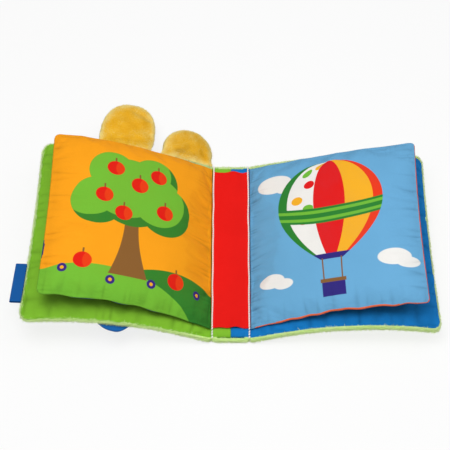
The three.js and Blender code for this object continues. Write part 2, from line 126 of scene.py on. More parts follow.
class Finish:
    # a material or a world under construction
    def __init__(self, owner):
        self.owner = owner
        owner.use_nodes = True
        self.tree = owner.node_tree
        self.tree.nodes.clear()

    def node(self, kind, settings=None, inputs=None, output=0):
        made = self.tree.nodes.new(kind)
        for key, value in (settings or {}).items():
            setattr(made, key, value)
        for key, value in (inputs or {}).items():
            if isinstance(value, Value):
                self.tree.links.new(value.socket, made.inputs[key])
            else:
                made.inputs[key].default_value = value
        return Value(self, made.outputs[output]) if made.outputs else None

    def cloth(self):  # where a point lies on the cloth, in millimetres
        uv = self.node("ShaderNodeUVMap", {"uv_map": "cloth"})
        split = self.node("ShaderNodeSeparateXYZ", {}, {0: uv})
        return split * uvSpan - uvSpan / 2, split.output("Y") * uvSpan - uvSpan / 2

    def solid(self):  # where a point lies in the book, in metres
        return self.node("ShaderNodeTexCoord", {}, {}, "Object")

    def noise(self, size, detail):  # size of a lump in millimetres
        inputs = {"Vector": self.solid(), "Scale": 1 / (size * metre), "Detail": detail}
        return self.node("ShaderNodeTexNoise", {}, inputs)

    def attribute(self, name):
        return self.node("ShaderNodeAttribute", {"attribute_name": name}, {}, "Fac")

    def mix(self, share, first, second, blend="MIX"):
        inputs = {0: share, 6: first, 7: second}
        return self.node("ShaderNodeMix", {"data_type": "RGBA", "blend_type": blend}, inputs, 2)

    def surface(self, colour, roughness, height, bump, fixed):
        depth, strength = bump
        inputs = {"Height": height, "Distance": depth * metre, "Strength": strength}
        normal = self.node("ShaderNodeBump", {}, inputs)
        inputs = {"Base Color": colour, "Roughness": roughness, "Normal": normal, **fixed}
        shader = self.node("ShaderNodeBsdfPrincipled", {}, inputs)
        self.node("ShaderNodeOutputMaterial", {}, {"Surface": shader})
        return self.owner


def putAimed(name, data, at, target):  # a camera or a lamp that looks at a place
    thing = bpy.data.objects.new(name, data)
    thing.location = Vector(at) * metre
    thing.rotation_euler = (Vector(target) - Vector(at)).to_track_quat("-Z", "Y").to_euler()
    scene.collection.objects.link(thing)
    return thing


def seenPlainly(finish):  # 1 where the camera or a reflection looks straight at the backdrop
    path = finish.node("ShaderNodeLightPath", {}, {}, "Is Camera Ray")
    return path | path.output("Is Glossy Ray")


def buildStudio():
    camera = bpy.data.cameras.new("camera")
    camera.lens, camera.sensor_width = studio["lens"], studio["sensor"]
    camera.clip_start = studio["nearest"] * metre
    scene.camera = putAimed("camera", camera, studio["cameraAt"], studio["cameraTo"])
    for name, part in studio["lamps"].items():
        lamp = bpy.data.lights.new(name, "AREA")
        lamp.size, lamp.energy = part["size"] * metre, part["power"]
        putAimed(name, lamp, part["at"], studio["lampTo"])

    world = Finish(bpy.data.worlds.new("studio"))
    strength = seenPlainly(world) * (1 - studio["sky"]) + studio["sky"]
    sky = world.node("ShaderNodeBackground", {}, {"Color": white, "Strength": strength})
    world.node("ShaderNodeOutputWorld", {}, {"Surface": sky})
    scene.world = world.owner

    reach, drop = studio["floorReach"] * metre, -studio["floorDrop"] * metre
    mesh = bpy.data.meshes.new("floor")
    corners = [(-reach, -reach, drop), (reach, -reach, drop), (reach, reach, drop), (-reach, reach, drop)]
    mesh.from_pydata(corners, [], [(0, 1, 2, 3)])
    floor = bpy.data.objects.new("floor", mesh)
    scene.collection.objects.link(floor)
    paper = Finish(bpy.data.materials.new("floorPaper"))
    matt = paper.node("ShaderNodeBsdfDiffuse", {}, {"Color": (*[studio["floorGrey"]] * 3, 1.0)})
    plain = paper.node("ShaderNodeEmission", {}, {"Color": white, "Strength": 1.0})
    shown = seenPlainly(paper) * studio["floorWhite"]
    both = paper.node("ShaderNodeMixShader", {}, {0: shown, 1: matt, 2: plain})
    paper.node("ShaderNodeOutputMaterial", {}, {"Surface": both})
    mesh.materials.append(paper.owner)


buildStudio()
print("studio set")


# Cloths and plush: each noise is a size and a detail, each bump a depth and a strength
clothLook = {
    "weave": 0.55, "clouds": (22, 3), "specks": (1.3, 2), "waves": (7, 2), "cloudRange": (0.35, 0.75),
    "wear": (0.06, 0.05, 0.015), "worn": 0.3, "creased": 0.66, "relief": (1.2, 0.6, 0.25),
    "roughness": (0.74, 0.12), "bump": (0.12, 0.6),
    "fixed": {"Sheen Weight": 0.02, "Sheen Roughness": 0.4, "Specular IOR Level": 0.1},
}
plushLook = {
    "tufts": (0.9, 3), "patches": (9, 2), "fibres": (0.5, 2), "tuftRange": (0.3, 0.72),
    "patchRange": (0.3, 0.7), "lit": (0.35, 0.3, 0.35), "halfLit": 0.5, "fibreRise": 0.6,
    "roughness": 0.95, "bump": (0.35, 0.5),
    "fixed": {"Sheen Weight": 0.4, "Sheen Roughness": 0.4, "Specular IOR Level": 0.06},
}
threadLook = {
    "pitch": 1.1, "fuzz": (0.6, 2), "dark": (0.4, 0.25), "shade": 0.75, "roughness": 0.7, "bump": (0.15, 0.6),
    "fixed": {"Sheen Weight": 0.05, "Specular IOR Level": 0.2},
}
plasticLook = {
    "peel": (0.8, 2), "scuffs": (3, 5), "scuffRange": (0.45, 0.8), "dark": 0.4, "shade": 0.8,
    "roughness": (0.2, 0.3), "bump": (0.05, 0.3), "fixed": {"Specular IOR Level": 0.5},
}


def shaded(colour, share):  # the colour, down to a share of its light
    return tuple(share * value for value in colour[:3]) + (1.0,)


def weighted(weights, *values):  # the sum of the values, each times its weight
    return sum(value * weight for weight, value in zip(weights, values))


def clothFinish(name, colour, picture=None, weave=clothLook["weave"]):
    # plain weave: the product of two sines over the cloth, under soft clouds of wear, and painted shade where
    # the fold mark lies
    finish, look = Finish(bpy.data.materials.new(name)), clothLook
    x, y = finish.cloth()
    threads = (x * (fullTurn / weave)).maths("SINE") * (y * (fullTurn / weave)).maths("SINE")
    clouds, specks, waves = (finish.noise(*look[key]) for key in ("clouds", "specks", "waves"))
    printed = picture(finish, x, y) if picture else colour
    wear = weighted(look["wear"], clouds.ramp(*look["cloudRange"]), specks, threads)
    shown = finish.mix(wear, printed, shaded(colour, look["worn"]))
    # painted shade: the colour multiplied down to a share of its light where the fold mark is high
    shown = finish.mix(finish.attribute("fold"), shown, shaded(white, look["creased"]), "MULTIPLY")
    height = weighted(look["relief"], waves, specks, threads)
    least, spread = look["roughness"]
    return finish.surface(shown, clouds * spread + least, height, look["bump"], look["fixed"])


def plushFinish(name, low, middle, high):
    # short pile: tufts with painted shade between them and a painted highlight at their tips, from the tip
    # mark, with brushed patches
    finish, look = Finish(bpy.data.materials.new(name)), plushLook
    tufts, patches, fibres = (finish.noise(*look[key]) for key in ("tufts", "patches", "fibres"))
    tip = finish.attribute("tip")
    lit = weighted(look["lit"], tufts.ramp(*look["tuftRange"]), patches.ramp(*look["patchRange"]), tip)
    upper = finish.mix(lit.ramp(look["halfLit"], 1), middle, high)
    shown = finish.mix(lit.ramp(0, look["halfLit"]), low, upper)
    height = tufts + fibres * look["fibreRise"]
    fixed = {**look["fixed"], "Sheen Tint": high}
    return finish.surface(shown, look["roughness"], height, look["bump"], fixed)


def threadFinish(name, colour, pitch=threadLook["pitch"]):
    # twisted yarn: slanting ridges from a sine over the length and the round of the thread
    finish, look = Finish(bpy.data.materials.new(name)), threadLook
    split = finish.node("ShaderNodeSeparateXYZ", {}, {0: finish.solid()})
    slant = split + split.output("Y") + split.output("Z")
    ridges = (slant * (fullTurn / (pitch * metre))).maths("SINE") * 0.5 + 0.5
    dark = weighted(look["dark"], ridges, finish.noise(*look["fuzz"]))
    shown = finish.mix(dark, colour, shaded(colour, look["shade"]))
    return finish.surface(shown, look["roughness"], ridges, look["bump"], look["fixed"])


def plasticFinish(name, colour):
    # moulded plastic: a faint orange peel and scuffs that dull it
    finish, look = Finish(bpy.data.materials.new(name)), plasticLook
    peel, scuffs = finish.noise(*look["peel"]), finish.noise(*look["scuffs"])
    shown = finish.mix(scuffs.ramp(*look["scuffRange"]) * look["dark"], colour, shaded(colour, look["shade"]))
    least, spread = look["roughness"]
    return finish.surface(shown, scuffs * spread + least, peel, look["bump"], look["fixed"])


inks = {
    "orange": tint(246, 159, 24),
    "sky": tint(105, 168, 210),
    "red": tint(222, 21, 16),
    "flame": tint(230, 56, 18),
    "yellow": tint(242, 174, 33),
    "leaf": tint(111, 183, 52),
    "forest": tint(43, 125, 41),
    "bark": tint(132, 90, 45),
    "purple": tint(48, 34, 119),
    "paper": tint(236, 234, 230),
}
inkEdge = 0.25  # millimetres over which a printed edge goes from one ink to the next
page = {"width": 140.0, "height": 147.0}


def within(distance):  # a mask from a distance that is below 0 inside the shape
    return distance.ramp(inkEdge, -inkEdge)


def ovalMask(x, y, middle, radii):
    across, up = (x - middle[0]) / radii[0], (y - middle[1]) / radii[1]
    return within(((across * across + up * up) ** 0.5 - 1) * min(radii))


def slabMask(x, y, left, right, low, high):
    across = abs(x - (left + right) / 2) - (right - left) / 2
    up = abs(y - (low + high) / 2) - (high - low) / 2
    return within(across | up)


def eitherMask(masks):
    joined, *others = masks
    for mask in others:
        joined = joined | mask
    return joined


tree = {
    "hills": [((104, -26), (78, 60), "forest"), ((44, -34), (92, 62), "leaf")],
    "trunk": dict(at=65, top=70, flare=0.0042, half=5.5, middle=48, tall=26),
    "crown": [(64, 96, 31), (37, 84, 21), (92, 86, 23), (48, 112, 19), (83, 112, 20)],
    "shadeShift": (-6, 7),
    "apples": [(42, 90), (70, 104), (92, 84), (58, 76), (86, 116), (50, 116), (30, 30), (104, 27)],
    "apple": (7.0, 6.58), "cheek": (7.0, 8.4), "stalk": (0.7, 5.0, 10.0),
    "blooms": [(16, 22), (52, 17), (84, 20), (124, 22)],
    "bloom": ((3.6, "purple"), (1.4, "yellow")),
}


def treePicture(finish, x, y):
    # page places from the lower left corner: the left leaf's cloth runs outwards from the stitches
    across, up = page["width"] - x, y + page["height"] / 2
    shown = inks["orange"]
    for middle, radii, ink in tree["hills"]:
        shown = finish.mix(ovalMask(across, up, middle, radii), shown, inks[ink])
    trunk = tree["trunk"]
    fromTop = up - trunk["top"]
    taper = abs(across - trunk["at"]) - fromTop * fromTop * trunk["flare"] - trunk["half"]
    stem = within(taper | (abs(up - trunk["middle"]) - trunk["tall"]))
    shown = finish.mix(stem, shown, inks["bark"])
    shiftX, shiftY = tree["shadeShift"]
    crown = eitherMask([ovalMask(across, up, (cx, cy), (size, size)) for cx, cy, size in tree["crown"]])
    lit = eitherMask(
        [ovalMask(across, up, (cx + shiftX, cy + shiftY), (size, size)) for cx, cy, size in tree["crown"]]
    )
    shown = finish.mix(crown, shown, inks["forest"])
    shown = finish.mix(crown & lit, shown, inks["leaf"])
    half, start, end = tree["stalk"]
    for cx, cy in tree["apples"]:
        stalk = slabMask(across, up, cx - half, cx + half, cy + start, cy + end)
        shown = finish.mix(stalk, shown, inks["bark"])
        ball = ovalMask(across, up, (cx, cy), tree["apple"])
        side = ovalMask(across, up, (cx + tree["cheek"][0], cy), tree["cheek"])
        shown = finish.mix(ball, shown, inks["red"])
        shown = finish.mix(ball & side, shown, inks["flame"])
    for middle in tree["blooms"]:
        for size, ink in tree["bloom"]:
            shown = finish.mix(ovalMask(across, up, middle, (size, size)), shown, inks[ink])
    return shown


balloon = {
    "middle": 70.0, "reach": 43.0, "widest": 96.0, "top": 40.0, "mouth": 44.0,  # widest: height of that place
    "neck": (1.9, 0.8), "skirt": 5,
    "gores": [(-0.82, "paper"), (-0.3, "red"), (0.3, "yellow"), (0.82, "flame")], "goreEdge": 0.006,
    "dots": [(-0.6, 0.72), (-0.42, 0.45), (-0.62, 0.12), (-0.4, -0.12), (-0.56, -0.42), (-0.36, 0.86)],
    "dotInks": ("leaf", "red", "yellow"), "dotReach": (0.9, 0.72), "dotSpread": 34, "dotSize": 14,
    "dotLimit": (-0.3, -0.31),
    "band": dict(at=84, sag=5, half=7, stripeAt=3.4, stripeHalf=1.4),
    "clouds": [(24, 122, 15), (36, 117, 11), (118, 40, 13), (128, 35, 9), (20, 34, 11), (30, 30, 8)],
    "cloudSquash": 0.55,
    "rope": dict(lean=0.02, foot=6.6, half=0.55, middle=35, tall=10),
    "basket": (-9, 9, 13, 27), "basketRim": (-10, 10, 24.5, 27.5),
}


def balloonPicture(finish, x, y):
    across, up = x - balloon["middle"], y + page["height"] / 2
    shown = inks["sky"]
    for cx, cy, size in balloon["clouds"]:
        puff = ovalMask(x, up, (cx, cy), (size, size * balloon["cloudSquash"]))
        shown = finish.mix(puff, shown, inks["paper"])
    # half the width: a quarter circle above the widest place and a power curve down to the mouth
    widest, top, mouth = balloon["widest"], balloon["top"], balloon["mouth"]
    power, narrowing = balloon["neck"]
    above, below = (up - widest).ramp(0, top), (widest - up).ramp(0, widest - mouth)
    dome, neck = (1.0001 - above * above) ** 0.5, 1 - (below**power) * narrowing
    half = (dome & neck) * balloon["reach"]
    tall = (widest + top - mouth) / 2
    envelope = within((abs(across) - half) | (abs(up - (mouth + widest + top) / 2) - tall))
    gore = across / (half + 0.01)
    ink = inks["forest"]
    soft = balloon["goreEdge"]
    for start, colour in balloon["gores"]:
        ink = finish.mix(gore.ramp(start - soft, start + soft), ink, inks[colour])
    for index, (place, height) in enumerate(balloon["dots"]):
        sideways = (gore - place) * balloon["dotSpread"]
        upwards = up - (widest + height * tall * balloon["dotReach"][height < 0])
        dot = within(sideways * sideways + upwards * upwards - balloon["dotSize"])
        colour = balloon["dotInks"][index % len(balloon["dotInks"])]
        ink = finish.mix(dot & gore.ramp(*balloon["dotLimit"]), ink, inks[colour])
    band, rope = balloon["band"], balloon["rope"]
    level = abs(up - gore * gore * band["sag"] - band["at"])
    ink = finish.mix(within(level - band["half"]), ink, inks["forest"])
    ink = finish.mix(within(abs(level - band["stripeAt"]) - band["stripeHalf"]), ink, inks["leaf"])
    ink = finish.mix(within(up - mouth - balloon["skirt"]), ink, inks["purple"])
    shown = finish.mix(envelope, shown, ink)
    for side in (-1, 1):
        cord = abs(across - side * (up * rope["lean"] + rope["foot"])) - rope["half"]
        shown = finish.mix(within(cord | (abs(up - rope["middle"]) - rope["tall"])), shown, inks["bark"])
    shown = finish.mix(slabMask(across, up, *balloon["basket"]), shown, inks["purple"])
    return finish.mix(slabMask(across, up, *balloon["basketRim"]), shown, inks["bark"])


finishes = {
    clothFinish: {
        "orangePrint": (inks["orange"], treePicture),
        "skyPrint": (inks["sky"], balloonPicture),
        "navyCloth": (tint(38, 48, 105),),
        "coralCloth": (tint(229, 107, 68),),
        "greenCloth": (tint(128, 188, 48),),
        "blueCloth": (tint(18, 119, 192),),
        "redCloth": (tint(227, 22, 17),),
        "kerchiefCloth": (tint(28, 96, 168),),
        "labelRibbon": (tint(22, 88, 158), None, 0.9),  # a coarser weave
    },
    plushFinish: {
        "limePlush": (tint(200, 238, 128), tint(222, 250, 166), tint(242, 255, 206)),
        "goldPlush": (tint(230, 162, 16), tint(242, 188, 48), tint(255, 232, 148)),
        "creamPlush": (tint(214, 186, 134), tint(232, 212, 170), tint(246, 234, 206)),
    },
    threadFinish: {"whiteThread": (tint(252, 251, 246),), "darkThread": (tint(52, 34, 24), 0.8)},
    plasticFinish: {"rattlePlastic": (tint(238, 238, 232),), "beadPlastic": (tint(216, 64, 44),)},
}
looks = {name: make(name, *parts) for make, group in finishes.items() for name, parts in group.items()}
print("finishes made:", len(looks))


# Meshes from whole arrays
def putMesh(name, points, faces, uv, finishes, faceLook=None, **marks):
    # points in millimetres, faces as one array of corners, uv as millimetres on the cloth for each point, and
    # marks as one number for each point
    mesh = bpy.data.meshes.new(name)
    count, sides = faces.shape
    mesh.vertices.add(len(points))
    mesh.vertices.foreach_set("co", (np.asarray(points) * metre).astype(np.float32).ravel())
    mesh.loops.add(count * sides)
    mesh.loops.foreach_set("vertex_index", faces.astype(np.int32).ravel())
    mesh.polygons.add(count)
    mesh.polygons.foreach_set("loop_start", np.arange(count, dtype=np.int32) * sides)
    if faceLook is not None:
        mesh.polygons.foreach_set("material_index", faceLook.astype(np.int32))
    mesh.polygons.foreach_set("use_smooth", np.ones(count, dtype=bool))
    layer = mesh.uv_layers.new(name="cloth")
    layer.data.foreach_set("uv", (uv[faces.ravel()] / uvSpan + 0.5).astype(np.float32).ravel())
    for mark, values in marks.items():
        mesh.attributes.new(mark, "FLOAT", "POINT").data.foreach_set("value", values.astype(np.float32))
    mesh.update(calc_edges=True)
    mesh.validate()
    for finish in finishes:
        mesh.materials.append(looks[finish])
    piece = bpy.data.objects.new(name, mesh)
    scene.collection.objects.link(piece)
    return piece


def outward(points, faces):
    # the faces turned to look out of a closed mesh: the sum of its signed tetrahedra isn't below 0
    a, b, c, d = (points[faces[:, k]] for k in range(4))
    volume = (a * np.cross(b, c)).sum() + (a * np.cross(c, d)).sum()
    return faces[:, ::-1] if volume < 0 else faces


def pillow(top, bottom, uv):
    # two grids of points that share their border; returns points, faces (top first), uv and the border
    across, along = top.shape[:2]
    border = np.zeros((across, along), bool)
    border[[0, -1]] = True
    border[:, [0, -1]] = True
    upper = np.arange(across * along).reshape(across, along)
    lower = np.where(border, upper, across * along + np.cumsum(~border).reshape(across, along) - 1)

    def quads(grid):
        corners = [grid[:-1, :-1], grid[1:, :-1], grid[1:, 1:], grid[:-1, 1:]]
        return np.stack(corners, -1).reshape(-1, 4)

    points = np.vstack([top.reshape(-1, 3), bottom[~border]])
    faces = np.vstack([quads(upper), quads(lower)[:, ::-1]])
    places = np.vstack([uv.reshape(-1, 2), uv[~border]])
    return points, outward(points, faces), places, border


def perFace(grid):  # a grid's values on the faces of a pillow: the mean of each face's four corners
    cells = (grid[:-1, :-1] + grid[1:, :-1] + grid[1:, 1:] + grid[:-1, 1:]) / 4
    return np.tile(cells.ravel(), 2)


def finishPiece(piece, body, slot, nodes=(), fill=None):
    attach(piece, body)
    if nodes:
        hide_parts(*nodes)
    return piece


def sewPiece(name, top, bottom, uv, finishes, fits, faceLook=None, **marks):
    # a pillow made into a piece; fits holds its body, slot, nodes and fill, and marks are grids like top
    points, faces, places, border = pillow(top, bottom, uv)
    marks = {mark: np.concatenate([grid.ravel(), grid[~border]]) for mark, grid in marks.items()}
    finishPiece(putMesh(name, points, faces, places, finishes, faceLook, **marks), *fits)
    return points, faces


def crowded(count, share=0.5):
    # 0 to 1 in steps that crowd towards both ends: a blend of an even run and half a cosine
    even = np.linspace(0, 1, count)
    return (1 - share) * even + share * (0.5 - 0.5 * np.cos(math.pi * even))


def spread(count, share=0.5):  # the same from -1 to 1
    return 2 * crowded(count, share) - 1


def rounded(gap, radius):
    # a quarter circle: 0 at the edge, 1 from radius inwards
    return np.sqrt(1 - (1 - np.clip(gap / radius, 0, 1)) ** 2)


def smoothStep(value):  # 0 to 1, level at both ends
    share = np.clip(value, 0, 1)
    return share * share * (3 - 2 * share)


def ripple(run, pitch, seed, count=6):
    # irregular waves: sines of nearby pitches and seeded phases, about -1 to 1
    rng = np.random.default_rng(seed)
    pitches = pitch * rng.uniform(0.65, 1.6, count)
    phases = rng.uniform(0, fullTurn, count)
    return np.sin(fullTurn * np.asarray(run)[..., None] / pitches + phases).sum(-1) / math.sqrt(count)


def lumps(a, b, size, seed, count=10):
    # a soft uneven field: plane waves in seeded directions, about -1 to 1
    rng = np.random.default_rng(seed)
    turns = rng.uniform(0, math.pi, count)
    sizes = size * rng.uniform(0.7, 1.7, count)
    phases = rng.uniform(0, fullTurn, count)
    run = np.asarray(a)[..., None] * np.cos(turns) + np.asarray(b)[..., None] * np.sin(turns)
    return np.sin(fullTurn * run / sizes + phases).sum(-1) / math.sqrt(count)


pucker = {  # how creases differ: each part's share, and its pitch as a multiple of theirs
    "wander": (0.45, 3.5), "twist": (0.02, 2.0), "strength": (0.45, 2.3), "meanStrength": 0.55,
    "mostStrength": 1.3, "length": (0.45, 1.7), "leastLength": 1.0,
}


def puckers(run, gap, pitch, reach, seed, sharpness=2.0):
    # creases square to a seam: narrow valleys at uneven pitch that fade within reach, 0 to 1
    def vary(part, offset):
        share, times = pucker[part]
        return share * ripple(run, times * pitch, seed + offset)

    bent = run / pitch + vary("wander", 0) + gap * vary("twist", 1)
    valley = (1 - np.abs(np.sin(math.pi * bent))) ** sharpness
    strength = np.clip(pucker["meanStrength"] + vary("strength", 2), 0, pucker["mostStrength"])
    length = np.maximum(reach * (1 + vary("length", 3)), pucker["leastLength"])
    return valley * strength * near(gap, length)


def disc(count):
    # a square grid drawn out to the unit disc; returns each point's share of the radius and its angle
    even = np.sin(np.linspace(-1, 1, count) * quarterTurn)
    p, q = gridOf(even, even)
    x, y = p * np.sqrt(1 - q * q / 2), q * np.sqrt(1 - p * p / 2)
    return np.hypot(x, y), np.arctan2(y, x)


def oval(count, width, height):  # the disc drawn out; returns each point's share of the radius, across and up
    share, turn = disc(count)
    return share, width / 2 * share * np.cos(turn), height / 2 * share * np.sin(turn)


def dome(share, power, bluntness=1.0):  # 1 in the middle of a disc, 0 at its edge
    return np.clip(1 - share**power, 0, 1) ** bluntness


def joinPoints(*axes):
    return np.stack(np.broadcast_arrays(*axes), -1).astype(float)


def gridOf(columns, rows):
    return np.meshgrid(columns, rows, indexing="ij")


def near(gap, reach):  # 1 at an edge, fading inwards as a bell
    return np.exp(-((gap / reach) ** 2))


def unit(ways):
    return ways / np.maximum(np.linalg.norm(ways, axis=-1, keepdims=True), tiny)


# The covers and leaves hang on seam lines that leave the stitches and bend over the table
book = {
    "spineWidth": 30.0, "hinge": 1.2, "rim": 1.6, "drawn": 1.5, "fullness": 2.6,
    "seamHalf": 0.3, "plush": 2.7, "tablePress": 2.5, "lineSteps": 3001, "lineRounds": 8,
    "farRun": 400.0,  # keeps the waves of a top edge apart from those of the bottom edge
}


class Panel:
    # s runs along a parabola from the stitch line, y along the spine, n square to the cloth
    def __init__(self, cut, look):
        self.side, self.slant = look["side"], look["slant"]
        self.width, self.height = cut["width"], cut["height"]
        self.corner, self.raised = look["corner"], cut["raised"]
        self.rootX = self.side * (book["spineWidth"] / 2 + book["hinge"])
        root, edge = cut["root"], look["edge"]
        control = 2 * look["middle"] - (root + edge) / 2
        share = np.linspace(0, 1, book["lineSteps"])
        self.line = root * (1 - share) ** 2 + 2 * control * share * (1 - share) + edge * share**2
        self.reach = self.width
        for _ in range(book["lineRounds"]):  # until the parabola is as long as the panel is wide
            steps = np.hypot(np.diff(share) * self.reach, np.diff(self.line))
            self.run = np.concatenate([[0], np.cumsum(steps)])
            self.reach *= self.width / self.run[-1]
        self.share = share
        self.slope = np.gradient(self.line, share) / self.reach
        self.below = look["below"]
        if self.below is None:  # padded down to the table
            self.below = look["middle"] / self.frameAt(self.width / 2)[3] - book["tablePress"]

    def frameAt(self, s):
        # the point on the seam line and the upward normal
        inside = np.clip(s, 0, self.width)
        share = np.interp(inside, self.run, self.share)
        slope = np.interp(share, self.share, self.slope)
        size = np.hypot(1, slope)
        past = s - inside
        x = self.rootX + self.side * (share * self.reach + past / size)
        z = np.interp(share, self.share, self.line) + past * slope / size
        return x, z, -self.side * slope / size, 1 / size

    def lean(self, s, y):
        # the outer edge slants, and is drawn in halfway up
        inward = self.slant * 2 * y / self.height
        inward += book["drawn"] * np.maximum(0, np.cos(math.pi * y / self.height))
        return s - s / self.width * inward

    def place(self, s, y, n):
        # n off the seam line at (s, y); a raised root is shifted along the spine, most at the top
        x, z, normalX, normalZ = self.frameAt(self.lean(s, y))
        rise = self.raised * np.maximum(0, 1 - s / self.width) * (0.5 + y / self.height)
        return joinPoints(x + n * normalX, y + rise, z + n * normalZ)

    def normal(self, s, y):
        _, _, normalX, normalZ = self.frameAt(self.lean(s, y))
        return joinPoints(normalX, 0, normalZ)

    def halfHeight(self, s):
        # drawn in as half a sine, with a quarter circle at the outer corner
        past = np.clip(s - (self.width - self.corner), 0, self.corner)
        inward = book["drawn"] * np.sin(math.pi * np.clip(s / self.width, 0, 1))
        return self.height / 2 - inward - self.corner + np.sqrt(self.corner**2 - past**2)

    def crown(self, s, y, power=book["fullness"]):
        # a cushion: 1 in the middle, falling to every edge as a power of the way there
        across = np.abs(np.clip(2 * s / self.width - 1, -1, 1)) ** power
        along = np.clip(np.abs(y) / self.halfHeight(s), 0, 1) ** power
        return (1 - across) * (1 - along)

    def underside(self, s, y):
        # the padding's lower face, no lower than the table lets the plush go
        _, z, _, normalZ = self.frameAt(self.lean(s, y))
        return np.maximum(-self.below * self.crown(s, y) - book["seamHalf"], book["plush"] - z / normalZ)


def doubled(grid):
    # one more line between each two of a grid, halfway, then softened along both ways with the border kept
    wide = np.repeat(grid, 2, axis=0)[:-1]
    wide[1::2] = (grid[:-1] + grid[1:]) / 2
    full = np.repeat(wide, 2, axis=1)[:, :-1]
    full[:, 1::2] = (wide[:, :-1] + wide[:, 1:]) / 2
    full[1:-1] = (full[:-2] + 2 * full[1:-1] + full[2:]) / 4
    full[:, 1:-1] = (full[:, :-2] + 2 * full[:, 1:-1] + full[:, 2:]) / 4
    return full


filling = {
    "frames": 20, "held": "seams",
    "fabric": {  # the simulation's own settings
        "quality": 5, "mass": 0.2, "tension_stiffness": 12, "compression_stiffness": 12, "shear_stiffness": 4,
        "bending_stiffness": 0.05, "tension_damping": 6, "compression_damping": 6, "shear_damping": 6,
        "air_damping": 2, "use_pressure": True,
    },
}


def puffUp(top, bottom, cut, heldTop=False, heldBottom=False):
    # cloth sewn from every second line of two grids fills out under pressure, with its border and the held
    # points fixed and no point going further than the cut's cap; returns both grids moved, kept at least half
    # as far apart as they were
    thinTop = top[::2, ::2]
    points, faces, uv, border = pillow(thinTop, bottom[::2, ::2], thinTop[..., :2])
    piece = putMesh("filling", points, faces, uv, ())
    heldTop, heldBottom = (np.broadcast_to(held, top.shape[:2])[::2, ::2] for held in (heldTop, heldBottom))
    pinned = np.concatenate([(heldTop | border).ravel(), heldBottom[~border]])
    piece.vertex_groups.new(name=filling["held"]).add(np.flatnonzero(pinned).tolist(), 1.0, "REPLACE")
    cloth = piece.modifiers.new("cloth", "CLOTH")
    for key, value in filling["fabric"].items():
        setattr(cloth.settings, key, value)
    cloth.settings.uniform_pressure_force = cut["pressure"]
    cloth.settings.shrink_min = -cut["spare"]
    cloth.settings.vertex_group_mass = filling["held"]
    cloth.settings.effector_weights.gravity = 0
    cloth.collision_settings.use_collision = False
    cloth.point_cache.frame_start = 1
    cloth.point_cache.frame_end = filling["frames"]
    for step in range(1, filling["frames"] + 1):
        scene.frame_set(step)
    made = piece.evaluated_get(bpy.context.evaluated_depsgraph_get()).to_mesh()
    ended = np.empty(points.size, np.float32)
    made.vertices.foreach_get("co", ended)
    bpy.data.objects.remove(piece)
    scene.frame_set(1)
    move = ended.reshape(-1, 3) / metre - points
    length = np.linalg.norm(move, axis=1, keepdims=True)
    move *= np.minimum(1, cut["cap"] / np.maximum(length, tiny))
    print("  filled out by up to %.2f mm" % length.max())
    moveTop = move[: border.size].reshape(thinTop.shape)
    moveBottom = np.zeros_like(moveTop)
    moveBottom[~border] = move[border.size :]
    thickness = np.linalg.norm(top - bottom, axis=-1, keepdims=True)
    apart = unit(top - bottom)
    top, bottom = top + doubled(moveTop), bottom + doubled(moveBottom)
    lack = np.maximum(0, thickness / 2 - ((top - bottom) * apart).sum(-1, keepdims=True))
    return top + apart * lack / 2, bottom - apart * lack / 2


def pressIn(crease, top, bottom, deepest):
    # how far creases go in: no further than a share of the padding's thickness
    room = deepest * np.linalg.norm(top - bottom, axis=-1) + tiny
    return room * np.tanh(crease / room)


# Leaves: front and back cloth sewn edge to edge round wadding
leafCut = {
    "width": page["width"], "height": page["height"], "root": 7.1, "raised": 3.5, "tongue": 0.7, "fill": 0.6,
    "steps": (141, 221), "crowding": 0.25, "crown": (4.0, 1.6), "crownPower": 3.0, "seam": (1.6, 1.2),
    "seamRadius": 6.0, "pressure": 4.0, "spare": 0.015, "cap": 1.8,
    "stillReach": 30.0, "topCalm": 0.3,  # edges wave less beside the stitches and along the top
    "sway": 0.6, "swayReach": 12.0, "swayPitch": 55.0, "finePitch": 24.0, "fineShare": 0.5,
    "endReach": 14.0, "endWave": 60.0, "scallop": 0.45, "scallopReach": 7.0, "scallopPitch": 21.0,
    "sag": 0.45, "sagSize": 46.0,
    "edgePucker": 0.8, "edgePitch": 9.0, "endPitch": 7.0, "edgeReach": 10.0, "rootSharpness": 1.2,
    "deepest": 0.6, "backDip": 0.25, "edgeShade": 0.25, "shadeReach": 8.0, "pipingStart": 3.0,
}
leafLooks = {  # the dark sliver: front faces along part of the outer edge given the dark back cloth, by its middle, half its length and its width
    "leftLeaf": dict(
        side=-1, slant=1.2, middle=45.0, edge=63.0, below=2.0, corner=5.5, seed=11,
        rootPucker=0.9, rootPitch=8.0, rootReach=15.0, piping=None, darkSliver=(-36.0, 10.0, 1.5),
        front="orangePrint", back="navyCloth", body="left_leaf", slot="orange_print",
    ),
    "rightLeaf": dict(
        side=1, slant=0.0, middle=34.5, edge=51.0, below=2.0, corner=3.5, seed=23,
        rootPucker=1.7, rootPitch=3.4, rootReach=7.0, piping=1.0, darkSliver=None,
        front="skyPrint", back="coralCloth", body="right_leaf", slot="sky_print",
    ),
}


